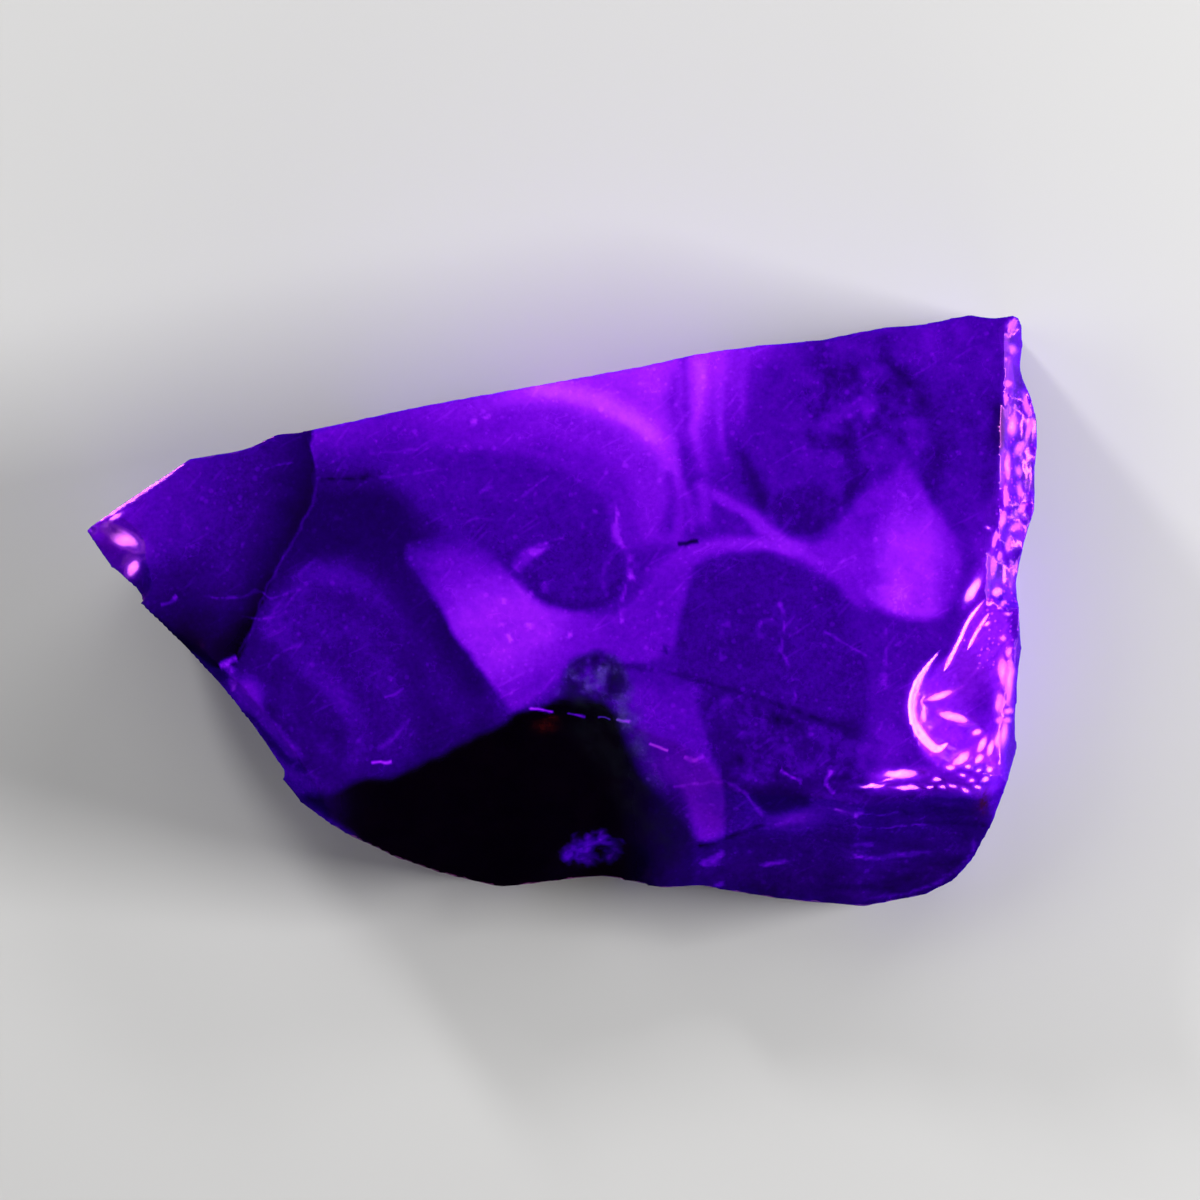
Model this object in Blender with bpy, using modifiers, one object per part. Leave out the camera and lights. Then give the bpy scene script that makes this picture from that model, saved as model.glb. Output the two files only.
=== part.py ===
"""A broken slice of agate, lying on its sawn back with the sawn face up.

The slice starts as a flat slab of the stone's outline. Everything else was broken
off it, so every fracture is a cutter: a shallow turned bowl with rings round its
middle, as glassy stone breaks. Lengths below are in millimetres and angles in
degrees. X runs along the slice, Y across it and Z up, out of the sawn face.
"""

import math
import random

import bpy
from mathutils import Matrix, Vector

MM = 0.001
WELD = 0.01 * MM

# Driving dimensions: 72 mm long and 45 mm wide, set by the outline, and this thick.
THICKNESS = 12.5

# The outline as seen from above, clockwise from the tip at the left.
OUTLINE = [
    (-35.9, 6.2), (-28.1, 11.6), (-25.5, 12.0), (-23.8, 12.3), (-21.2, 13.5),
    (-20.0, 13.5), (-10.7, 15.5), (-1.3, 17.2), (5.9, 18.5), (10.4, 19.5),
    (14.9, 20.1), (19.4, 20.5), (23.9, 21.4), (27.2, 21.7), (30.6, 22.4),
    (32.3, 22.1), (34.0, 22.4), (34.6, 21.9), (34.7, 20.1), (34.4, 18.2),
    (35.3, 16.3), (36.0, 14.1), (35.7, 11.1), (35.6, 7.7), (34.9, 5.4),
    (34.2, 2.4), (34.5, -0.6), (34.8, -3.6), (34.5, -6.9), (34.4, -10.3),
    (33.5, -13.2), (32.6, -15.7), (31.2, -18.7), (29.7, -20.4), (27.6, -21.5),
    (23.0, -22.4), (17.1, -21.9), (12.0, -21.1), (10.4, -20.8), (7.7, -21.0),
    (3.2, -20.1), (-0.2, -20.4), (-4.7, -20.9), (-9.2, -19.8), (-12.5, -18.6),
    (-16.3, -16.7), (-19.7, -14.4), (-22.1, -11.4), (-24.3, -8.9), (-25.8, -7.2),
    (-26.8, -4.7), (-29.8, -1.2), (-32.8, 1.7), (-34.8, 4.5),
]

# Each fracture passes through a point, falls away towards a compass direction
# (0 is +X, 90 is +Y) and slopes down from the level, up to 90 for a wall and more
# for an undercut. Its bowl has a radius, and its rings are centred this far down
# the slope from the point: near 0 where the blow struck the edge. Reach is how far
# the fracture ran from that centre.
FACE = THICKNESS

# Broad breaks that shaped the left end and the lower side, left to right.
BROAD_BREAKS = {
    "left_facet": dict(
        at=(-20.1, 4.1, FACE), towards=165.6, slope=1.7, bowl=190.0, centre=14.5, reach=21.5
    ),
    "left_strip": dict(
        at=(-21.0, -9.0, FACE), towards=-143, slope=46, bowl=60.0, centre=1.0, reach=13.0
    ),
    "hollow": dict(
        at=(-1.3, -7.2, FACE), towards=-90, slope=0, bowl=38.4, centre=22.0, reach=23.0
    ),
    "hollow_chip": dict(
        at=(2.3, -17.2, 7.5), towards=-85, slope=46, bowl=7.0, centre=0.8, reach=4.2
    ),
    "mottled_ledge": dict(
        at=(14.5, -6.4, FACE), towards=-104, slope=5, bowl=140.0, centre=0.5, reach=13.0
    ),
    "lower_middle": dict(
        at=(16.5, -13.2, FACE), towards=-94, slope=46, bowl=32.0, centre=1.0, reach=14.5
    ),
    "lower_right": dict(
        at=(26.0, -13.2, FACE), towards=-80, slope=46, bowl=32.0, centre=1.0, reach=14.5
    ),
    "notch": dict(
        at=(12.6, -13.6, FACE - 0.9), towards=-118, slope=42, bowl=9.0, centre=0.8, reach=3.6
    ),
}

# Smaller breaks round the right-hand corner.
CORNER_BREAKS = {
    "corner_strip": dict(
        at=(27.6, -11.9, FACE), towards=-91, slope=22, bowl=18.0, centre=1.5, reach=7.0
    ),
    "corner_facet": dict(
        at=(30.8, -1.3, FACE), towards=-33, slope=20, bowl=26.0, centre=4.5, reach=8.5
    ),
    "corner_bowl": dict(
        at=(26.2, -6.9, FACE), towards=-4, slope=20, bowl=7.5, centre=2.6, reach=5.6
    ),
    "corner_edge": dict(
        at=(33.3, -7.5, FACE - 2.0), towards=-6, slope=52, bowl=30.0, centre=2.0, reach=8.5
    ),
    "corner_end": dict(
        at=(32.3, -12.6, FACE - 1.2), towards=-40, slope=44, bowl=12.0, centre=2.0, reach=5.0
    ),
}

# Chips in a row down the right-hand rim, and three at the tip, which the broad
# break at that end has lowered.
TIP = FACE - 0.87
RIM_CHIPS = {
    "rim_1": dict(at=(33.5, 20.6, FACE), towards=-8, slope=42, bowl=5.0, centre=1.6, reach=2.6),
    "rim_2": dict(at=(33.4, 17.4, FACE), towards=2, slope=38, bowl=5.5, centre=1.6, reach=2.9),
    "rim_3": dict(at=(32.9, 14.2, FACE), towards=-4, slope=32, bowl=5.5, centre=2.3, reach=3.5),
    "rim_4": dict(at=(33.0, 10.2, FACE), towards=6, slope=34, bowl=7.5, centre=2.1, reach=3.6),
    "rim_5": dict(at=(32.9, 6.6, FACE), towards=-8, slope=36, bowl=5.5, centre=1.9, reach=3.2),
    "rim_6": dict(at=(32.0, 3.9, FACE), towards=-16, slope=34, bowl=6.0, centre=1.9, reach=3.0),
    "tip_bowl": dict(at=(-31.6, 5.7, TIP), towards=-150, slope=16, bowl=4.0, centre=2.2, reach=2.7),
    "tip_chip": dict(at=(-31.3, 3.6, TIP), towards=-140, slope=34, bowl=3.0, centre=1.2, reach=1.9),
    "tip_edge": dict(at=(-31.7, 8.75, TIP), towards=124, slope=40, bowl=80.0, centre=0.5, reach=6.0),
}

# The walls lean in under the face, so the back is smaller than the face.
WALL_BREAKS = {
    "wall_tip_upper": dict(
        at=(-32.0, 8.9, TIP - 0.7), towards=124, slope=104, bowl=60.0, centre=8.0, reach=16.0
    ),
    "wall_tip_lower": dict(
        at=(-30.6, -0.3, TIP - 0.3), towards=-135, slope=104, bowl=70.0, centre=8.0, reach=17.0
    ),
    "wall_left": dict(
        at=(-23.4, -10.1, 7.5), towards=-144, slope=98, bowl=50.0, centre=5.0, reach=12.0
    ),
    "wall_back_left": dict(
        at=(-22.6, 13.0, 8.0), towards=112, slope=108, bowl=30.0, centre=5.0, reach=9.0
    ),
    "wall_back": dict(
        at=(7.0, 18.7, 7.5), towards=99.7, slope=97, bowl=120.0, centre=6.0, reach=22.0
    ),
    "wall_right_upper": dict(
        at=(35.4, 12.4, 8.5), towards=4, slope=99, bowl=40.0, centre=6.0, reach=14.0
    ),
    "wall_right_lower": dict(
        at=(34.0, -3.6, 8.0), towards=-4, slope=103, bowl=45.0, centre=6.0, reach=14.0
    ),
}

# Rings on a fracture: a wave this long and this high, dying out towards its edge.
RING_LENGTH = 2.6
RING_HEIGHT = 0.05

# How finely a cutter is turned: the steps along its section, and round it at least
# this many sides of about this length. A small one has shorter steps.
CUTTER_DEPTH = 18.0
PROFILE_STEP = 1.15
SIDE_LENGTH = 2.3
LEAST_SIDES = 24
SMALL_REACH = 6.0
SMALL_PROFILE_STEP = 0.5

# Small chips along the edge of the back, where the saw came through. The bowl and
# the centre of each are these times its reach.
BACK_CHIPS = 17
BACK_CHIP_SEED = 5
BACK_CHIP_REACH = (1.3, 2.6)
BACK_CHIP_SLOPE = (118.0, 138.0)
BACK_CHIP_HEIGHT = (0.6, 1.5)
BACK_CHIP_BOWL = 1.7
BACK_CHIP_CENTRE = 0.4
BACK_CHIP_SHUFFLE = (0.2, 0.8)


def clear_scene():
    for old in list(bpy.data.objects):
        bpy.data.objects.remove(old)


def new_collection(name):
    made = bpy.data.collections.new(name)
    bpy.context.scene.collection.children.link(made)
    return made


def stone_material():
    made = bpy.data.materials.new("violet_agate")
    made.use_nodes = True
    shader = made.node_tree.nodes["Principled BSDF"]
    shader.inputs["Base Color"].default_value = (0.10, 0.012, 0.50, 1.0)
    shader.inputs["Roughness"].default_value = 0.16
    shader.inputs["Metallic"].default_value = 0.0
    return made


def slab(collection):
    """The unbroken slab: the outline as a filled flat curve, given its thickness."""
    curve = bpy.data.curves.new("slab_outline", "CURVE")
    curve.dimensions = "2D"
    curve.fill_mode = "BOTH"
    curve.extrude = THICKNESS / 2 * MM
    edge = curve.splines.new("POLY")
    edge.points.add(len(OUTLINE) - 1)
    for point, (x, y) in zip(edge.points, OUTLINE):
        point.co = (x * MM, y * MM, 0.0, 1.0)
    edge.use_cyclic_u = True
    guide = bpy.data.objects.new("slab_outline", curve)
    guide.location.z = THICKNESS / 2 * MM
    collection.objects.link(guide)
    bpy.context.view_layer.update()
    return as_mesh(guide, "agate_slice", collection)


def as_mesh(source, name, collection):
    """A closed mesh object in place of a curve, with its caps welded on."""
    evaluated = source.evaluated_get(bpy.context.evaluated_depsgraph_get())
    mesh = bpy.data.meshes.new_from_object(evaluated)
    made = bpy.data.objects.new(name, mesh)
    made.matrix_world = source.matrix_world
    collection.objects.link(made)
    bpy.data.objects.remove(source)
    weld = made.modifiers.new("weld_caps", "WELD")
    weld.merge_threshold = WELD
    return made


def sag(bowl, r):
    """How far the bowl has risen that far out from its lowest point."""
    return bowl - math.sqrt(bowl * bowl - r * r)


def fracture_profile(bowl, reach, step):
    """Half the cutter's section: out along the rippled bowl, up its side and back to the axis."""
    steps = round(reach / step)
    height = RING_HEIGHT * min(1.0, reach / SMALL_REACH)
    points = []
    for i in range(steps + 1):
        r = reach * i / steps
        ring = height * (1.0 - r / reach) * math.sin(math.tau * r / RING_LENGTH)
        points.append((r, sag(bowl, r) + ring))
    points += [(reach, CUTTER_DEPTH), (0.0, CUTTER_DEPTH)]
    return points


def fracture(name, collection, at, towards, slope, bowl, centre, reach):
    """A cutter whose rippled bowl passes through a point of the stone."""
    step = SMALL_PROFILE_STEP if reach < SMALL_REACH else PROFILE_STEP
    profile = fracture_profile(bowl, reach, step)
    mesh = bpy.data.meshes.new(name)
    # A Screw profile at +X runs from the top down, so that the turned body faces out.
    corners = [(r * MM, 0.0, h * MM) for r, h in reversed(profile)]
    mesh.from_pydata(corners, [(i, i + 1) for i in range(len(corners) - 1)], [])
    cutter = bpy.data.objects.new(name, mesh)
    collection.objects.link(cutter)
    turn = cutter.modifiers.new("turn", "SCREW")
    turn.steps = turn.render_steps = max(LEAST_SIDES, round(math.tau * reach / SIDE_LENGTH))
    turn.use_merge_vertices = True
    turn.merge_threshold = WELD
    turn.use_normal_calculate = True

    heading = Vector((math.cos(math.radians(towards)), math.sin(math.radians(towards)), 0.0))
    tilt = math.radians(slope)
    up = Vector((0.0, 0.0, 1.0))
    out = heading * math.sin(tilt) + up * math.cos(tilt)
    downhill = heading * math.cos(tilt) - up * math.sin(tilt)
    middle = Vector(at) + downhill * centre - out * sag(bowl, centre)
    turned = Matrix((downhill, out.cross(downhill), out)).transposed().to_4x4()
    cutter.matrix_world = Matrix.Translation(middle * MM) @ turned
    cutter.hide_render = True
    cutter.display_type = "WIRE"
    return cutter


def outline_edges():
    corners = [Vector(p) for p in OUTLINE]
    return list(zip(corners, corners[1:] + corners[:1]))


def outline_walk(distance):
    """The point that far round the outline, and the compass direction that faces out there."""
    for a, b in outline_edges():
        run = (b - a).length
        if distance <= run:
            break
        distance -= run
    along = (b - a) / run
    return a + along * distance, math.degrees(math.atan2(along.x, -along.y))


def back_chips(collection):
    """Little chips at even, slightly shuffled places round the edge of the back."""
    chance = random.Random(BACK_CHIP_SEED)
    around = sum((b - a).length for a, b in outline_edges())
    for i in range(BACK_CHIPS):
        place = around * (i + chance.uniform(*BACK_CHIP_SHUFFLE)) / BACK_CHIPS
        spot, facing = outline_walk(place)
        reach = chance.uniform(*BACK_CHIP_REACH)
        fracture(
            f"back_chip_{i + 1}",
            collection,
            at=(spot.x, spot.y, chance.uniform(*BACK_CHIP_HEIGHT)),
            towards=facing,
            slope=chance.uniform(*BACK_CHIP_SLOPE),
            bowl=reach * BACK_CHIP_BOWL,
            centre=reach * BACK_CHIP_CENTRE,
            reach=reach,
        )


def break_slab(stone, cutters):
    chip = stone.modifiers.new("fractures", "BOOLEAN")
    chip.operation = "DIFFERENCE"
    chip.operand_type = "COLLECTION"
    chip.collection = cutters
    chip.solver = "EXACT"


def main():
    clear_scene()
    parts = new_collection("agate_slice")
    cutters = new_collection("fracture_cutters")
    stone = slab(parts)
    stone.data.materials.append(stone_material())
    for breaks in (BROAD_BREAKS, CORNER_BREAKS, RIM_CHIPS, WALL_BREAKS):
        for name, shape in breaks.items():
            fracture(name, cutters, **shape)
    back_chips(cutters)
    break_slab(stone, cutters)


main()
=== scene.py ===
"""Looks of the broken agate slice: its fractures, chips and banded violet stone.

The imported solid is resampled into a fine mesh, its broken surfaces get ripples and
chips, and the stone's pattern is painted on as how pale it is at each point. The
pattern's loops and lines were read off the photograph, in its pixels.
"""
import math

import bmesh
import bpy
import numpy as np
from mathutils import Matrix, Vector


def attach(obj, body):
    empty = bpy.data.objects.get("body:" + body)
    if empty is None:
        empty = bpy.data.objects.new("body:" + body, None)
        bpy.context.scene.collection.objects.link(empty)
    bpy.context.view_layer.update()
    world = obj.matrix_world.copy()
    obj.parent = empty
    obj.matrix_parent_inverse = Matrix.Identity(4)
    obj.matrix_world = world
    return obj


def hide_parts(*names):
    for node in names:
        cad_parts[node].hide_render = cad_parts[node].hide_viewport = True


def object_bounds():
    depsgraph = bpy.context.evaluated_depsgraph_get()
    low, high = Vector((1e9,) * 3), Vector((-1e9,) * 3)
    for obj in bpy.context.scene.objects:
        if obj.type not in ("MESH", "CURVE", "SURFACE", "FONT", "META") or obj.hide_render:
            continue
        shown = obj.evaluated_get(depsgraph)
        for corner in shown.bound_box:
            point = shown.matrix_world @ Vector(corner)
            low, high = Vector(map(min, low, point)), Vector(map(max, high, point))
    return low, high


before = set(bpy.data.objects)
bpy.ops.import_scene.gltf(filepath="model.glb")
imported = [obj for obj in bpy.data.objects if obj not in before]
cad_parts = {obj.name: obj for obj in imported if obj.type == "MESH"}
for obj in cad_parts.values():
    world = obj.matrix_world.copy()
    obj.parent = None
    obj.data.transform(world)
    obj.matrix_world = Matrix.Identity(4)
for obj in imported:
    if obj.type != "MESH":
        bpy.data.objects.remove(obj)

CAD_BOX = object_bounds()

MM = 0.001
FACE = CAD_BOX[1][2] / MM

# The photograph: one pixel is this many millimetres of the slice, and the CAD
# frame's origin is at this pixel.
PIXEL = 0.075
ORIGIN_PIXEL = np.array([562.0, 612.5])
PHOTO_SIZE = 1200

# The camera, above the middle of the photograph's frame.
CAMERA_LENS = 200.0
CAMERA_SENSOR = 36.0
FRAME_CENTRE_PIXEL = np.array([600.0, 600.0])

# The mesh: its spacing in millimetres, how often faces are split where detail is fine,
# how often the solid's facets are smoothed, and for the walls and the back the share of
# faces kept and how far below the face they begin.
SPACING = 0.34
FINE_LEVELS = 2
SMOOTH_ROUNDS = 8
KEPT_SHARE = 0.50
WALL_TOP = 0.6

# How near a sawn face a point counts as on it, before and after the relief is added.
NEAR_FACE = 0.02
ON_FACE = 0.004

# How much of the way chips are really tilted towards their light, at the right and at
# the tip. A steeper dent there would shade itself.
CHIP_RELIEF = 0.4
TIP_RELIEF = 0.05

# Slopes in degrees against the gentler ones they are shaded with, so that they mirror
# no light by chance: on the breaks, on the lip under the face, on a lip that faces
# right, and on slopes that face the compass direction AWAY, away from all the lights.
GENTLE = ([0, 30, 36, 76], [0, 30, 40.5, 43.5])
GENTLE_LIP = ([0, 60, 76], [0, 12, 30])
GENTLE_RIM = ([0, 14, 18, 76], [0, 14, 40.5, 43.5])
GENTLE_AWAY = ([0, 22, 76], [0, 22, 29])
AWAY = 265

# How far from the face the lip reaches, in millimetres, fading out.
LIP_REACH = (0.16, 0.45)

# Roughness that is added at a chip's core and edge: on the corner, on the rim for
# large chips, with length times width over LARGE_CHIP, and for small ones, and on the
# glints, which are glossier than the stone.
CHIP_DULL = (0.02, 0.13)
RIM_DULL = (0.08, 0.22)
SMALL_RIM_DULL = (0.18, 0.22)
GLINT_DULL = (-0.06, 0.14)
LARGE_CHIP = 150

# Roughness that is added over the rim, and along its inner edge.
RIM_ROUGH = 0.04
RIM_EDGE_ROUGH = 0.14

# How much paler the stone is painted round chips and glints: a painted halo round the highlight.
PAINTED_GLINT_HALO = 0.22

# The lights that the chips glint in, as compass, 0 at +X and 90 at +Y, and elevation.
RIGHT_LIGHT = (0, 22)
TIP_LIGHT = (124, 22)
LIGHT_DISTANCE = 0.5

# Loops round the stone's parts, in photo pixels.
LEFT_FACET = [
    (70, 530), (187, 445), (300, 420), (312, 450), (316, 480), (311, 500), (298, 535), (284, 555),
    (265, 595), (252, 630), (232, 668), (200, 660), (120, 600),
]
LEFT_FIELD = [
    (285, 585), (320, 560), (372, 570), (400, 610), (425, 650), (462, 690), (490, 715), (440, 745),
    (390, 770), (345, 770), (345, 735), (322, 700), (290, 668), (262, 640), (262, 605),
]
LOBE = [
    (402, 468), (430, 456), (480, 450), (530, 458), (572, 477), (600, 500), (614, 530), (622, 560),
    (618, 590), (600, 605), (575, 609), (548, 604), (530, 590), (516, 576), (498, 560), (478, 543),
    (462, 530), (442, 508), (420, 488),
]
SMALL_LOBE = [
    (530, 562), (550, 545), (585, 538), (612, 545), (624, 565), (618, 590), (600, 605), (575, 608),
    (550, 603), (535, 588),
]
FAN = [
    (404, 548), (420, 537), (444, 531), (464, 537), (482, 548), (500, 563), (518, 583), (534, 597),
    (552, 606), (580, 611), (612, 612), (628, 602), (642, 586), (658, 571), (680, 560), (705, 552),
    (700, 565), (690, 590), (683, 615), (676, 635), (668, 652), (640, 664), (612, 668), (600, 652),
    (585, 656), (568, 664), (558, 680), (545, 694), (530, 704), (513, 713), (497, 690), (477, 665),
    (456, 638), (440, 610), (424, 584), (408, 566),
]
RIGHT_LOBE = [
    (690, 580), (700, 562), (730, 552), (780, 550), (806, 554), (825, 566), (842, 585), (856, 608),
    (862, 640), (870, 690), (862, 726), (830, 718), (790, 704), (740, 690), (690, 672), (676, 655),
    (678, 620),
]
PATCH = [
    (884, 474), (900, 456), (913, 466), (925, 485), (938, 505), (951, 525), (963, 550), (964, 580),
    (956, 605), (940, 620), (915, 622), (890, 615), (862, 600), (840, 580), (815, 558), (800, 545),
    (822, 538), (840, 522), (855, 500), (866, 485),
]
MATRIX = [
    (330, 790), (360, 778), (395, 774), (414, 765), (440, 752), (470, 735), (500, 722), (513, 712),
    (540, 703), (562, 692), (590, 694), (616, 706), (630, 740), (650, 780), (682, 815), (698, 850),
    (690, 900), (600, 900), (500, 910), (400, 880), (350, 840), (300, 800),
]
PALE_BAND = [
    (620, 690), (640, 676), (692, 682), (700, 705), (707, 730), (714, 758), (722, 782), (728, 812),
    (727, 840), (700, 843), (690, 822), (682, 795), (660, 778), (640, 745), (628, 715),
]
BAND_FOOT = [(728, 783), (745, 795), (765, 822), (727, 838)]
MOTTLED = [
    (694, 684), (740, 694), (790, 708), (860, 730), (880, 745), (862, 775), (830, 788), (790, 780),
    (755, 784), (728, 776), (718, 750), (706, 715),
]
NOTCH = [(750, 790), (790, 786), (812, 800), (795, 812), (768, 816)]
LOWER_RIGHT = [
    (705, 850), (728, 838), (765, 820), (800, 812), (838, 800), (880, 794), (930, 796), (985, 800),
    (995, 830), (975, 870), (940, 900), (860, 915), (760, 905), (700, 890),
]
UPPER_CELL = [
    (770, 510), (772, 494), (792, 485), (822, 480), (840, 495), (838, 520), (815, 537), (785, 533),
]
CORNER = [
    (985, 598), (1010, 620), (1018, 680), (1010, 740), (1000, 795), (945, 788), (930, 765), (915, 740),
    (912, 700), (930, 668), (956, 644),
]
RIM = [(1003, 330), (1008, 380), (1004, 430), (999, 480), (990, 530), (985, 580), (983, 600)]
LEFT_PATCH = [
    (262, 640), (292, 672), (322, 702), (340, 735), (340, 770), (315, 765), (285, 735), (262, 705),
    (240, 675),
]
CRYSTALS = [(574, 678), (585, 664), (600, 660), (612, 672), (606, 688), (590, 693)]
CRYSTAL_SHADE = [(562, 690), (572, 662), (600, 652), (622, 664), (628, 690), (600, 702), (575, 702)]
HAZE = [
    (560, 700), (600, 672), (626, 690), (640, 740), (656, 790), (684, 840), (660, 860), (620, 800),
    (585, 745),
]
GLINT_PATCH = [(560, 855), (585, 836), (612, 840), (622, 855), (600, 868), (572, 868)]

# Soft spots, in photo pixels: centre, half sizes and how sharply they end.
SPOTS = {
    "ring_middle": (862, 405, 52, 52, 4), "top_shade": (835, 350, 60, 22, 4),
    "top_glow_1": (848, 352, 14, 12, 2), "top_glow_2": (930, 342, 9, 16, 2),
    "top_glow_3": (962, 335, 8, 14, 2), "smudge": (855, 410, 62, 62, 4),
    "band_shade": (722, 738, 12, 26, 4), "row_glow": (880, 745, 26, 22, 4),
    "low_glow": (790, 826, 40, 12, 2), "matrix_fringe": (322, 808, 26, 30, 2),
    "patch_glow": (898, 594, 16, 14, 2), "corner_shade": (985, 713, 16, 22, 2),
    "rim_shade": (998, 424, 7, 26, 2), "tip_hollow": (148, 580, 22, 34, 4),
    "rust_1": (545, 727, 9, 5, 2), "rust_2": (552, 720, 5, 3, 2), "rust_3": (985, 803, 7, 14, 2),
}

# Lines, in photo pixels.
ARC = [
    (400, 425), (440, 418), (475, 408), (505, 398), (540, 391), (580, 399), (620, 415), (650, 433),
    (667, 450), (677, 470), (684, 492), (687, 515),
]
DARK_RING = [(872, 366), (897, 372), (920, 392), (936, 425), (938, 462), (930, 490), (945, 522)]
# The top edge at the left, whose break is shaded as a lip.
LEFT_LIP = [(190, 459), (230, 447), (262, 441), (306, 424)]
STREAK = [(246, 694), (262, 716), (282, 740), (306, 764)]
LOWER_STREAK = [(262, 752), (285, 772), (312, 786)]

# Bands of even paleness, in photo pixels: x, y, how pale and half the width.
BANDS = {
    "gap_1": [
        (681, 362, 0.88, 7), (676, 385, 0.76, 8), (673, 402, 0.68, 9), (679, 428, 0.71, 7),
        (686, 445, 0.56, 6), (690, 460, 0.42, 6), (693, 478, 0.52, 5),
    ],
    "stripe_1": [
        (701, 350, 1.15, 8), (701, 378, 1.13, 8), (700, 400, 1.06, 7), (695, 430, 0.92, 6),
        (702, 456, 0.70, 6), (709, 480, 0.70, 6),
    ],
    "stripe_2": [
        (722, 348, 0.98, 6), (720, 378, 0.92, 6), (719, 402, 0.84, 6), (720, 430, 0.78, 5),
        (725, 456, 0.58, 5), (731, 476, 0.46, 4),
    ],
    "gap_3": [(732, 372, 0.78, 4), (731, 402, 0.68, 4), (728, 430, 0.50, 5), (735, 458, 0.40, 5)],
    "stripe_3": [(740, 352, 0.78, 6), (741, 380, 0.76, 6), (741, 405, 0.72, 5), (745, 428, 0.52, 5)],
    "wedge": [
        (733, 436, 0.42, 5), (742, 456, 0.28, 7), (752, 478, 0.21, 9), (762, 500, 0.20, 9),
        (774, 516, 0.27, 5),
    ],
    "arc_dip": [
        (668, 466, 0.74, 4), (672, 484, 0.60, 6), (673, 500, 0.53, 7), (670, 518, 0.50, 8),
        (664, 540, 0.44, 8),
    ],
    "arc_tail": [(679, 476, 0.78, 5), (686, 492, 0.68, 5), (690, 510, 0.62, 6), (692, 532, 0.62, 6)],
    "junction": [(698, 478, 0.66, 8), (704, 490, 0.76, 9), (704, 506, 0.66, 9), (702, 530, 0.62, 8)],
    "strand_low": [
        (640, 590, 0.58, 9), (664, 567, 0.62, 10), (700, 549, 0.70, 9), (740, 543, 0.76, 8),
        (778, 545, 0.80, 8), (808, 556, 0.74, 10), (836, 574, 0.66, 10), (862, 600, 0.60, 8),
        (886, 617, 0.56, 6),
    ],
    "strand_top": [
        (708, 488, 0.74, 6), (726, 500, 0.72, 6), (748, 514, 0.74, 7), (768, 530, 0.80, 8),
        (790, 545, 0.84, 9), (815, 552, 0.76, 9),
    ],
    "triangle": [(712, 510, 0.44, 3), (726, 517, 0.42, 6), (738, 525, 0.44, 6), (748, 531, 0.50, 3)],
    "cell_shade": [(872, 462, 0.26, 9), (852, 486, 0.24, 12), (842, 505, 0.26, 10), (826, 524, 0.30, 8)],
    "crack_shade": [
        (598, 670, 0.26, 6), (650, 671, 0.34, 7), (700, 680, 0.26, 7), (745, 694, 0.29, 6),
        (800, 713, 0.24, 8), (850, 728, 0.20, 9), (882, 738, 0.28, 6),
    ],
    "fan_shade": [(432, 600, 0.18, 9), (446, 636, 0.16, 10), (466, 668, 0.17, 10), (488, 700, 0.16, 8)],
}

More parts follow.
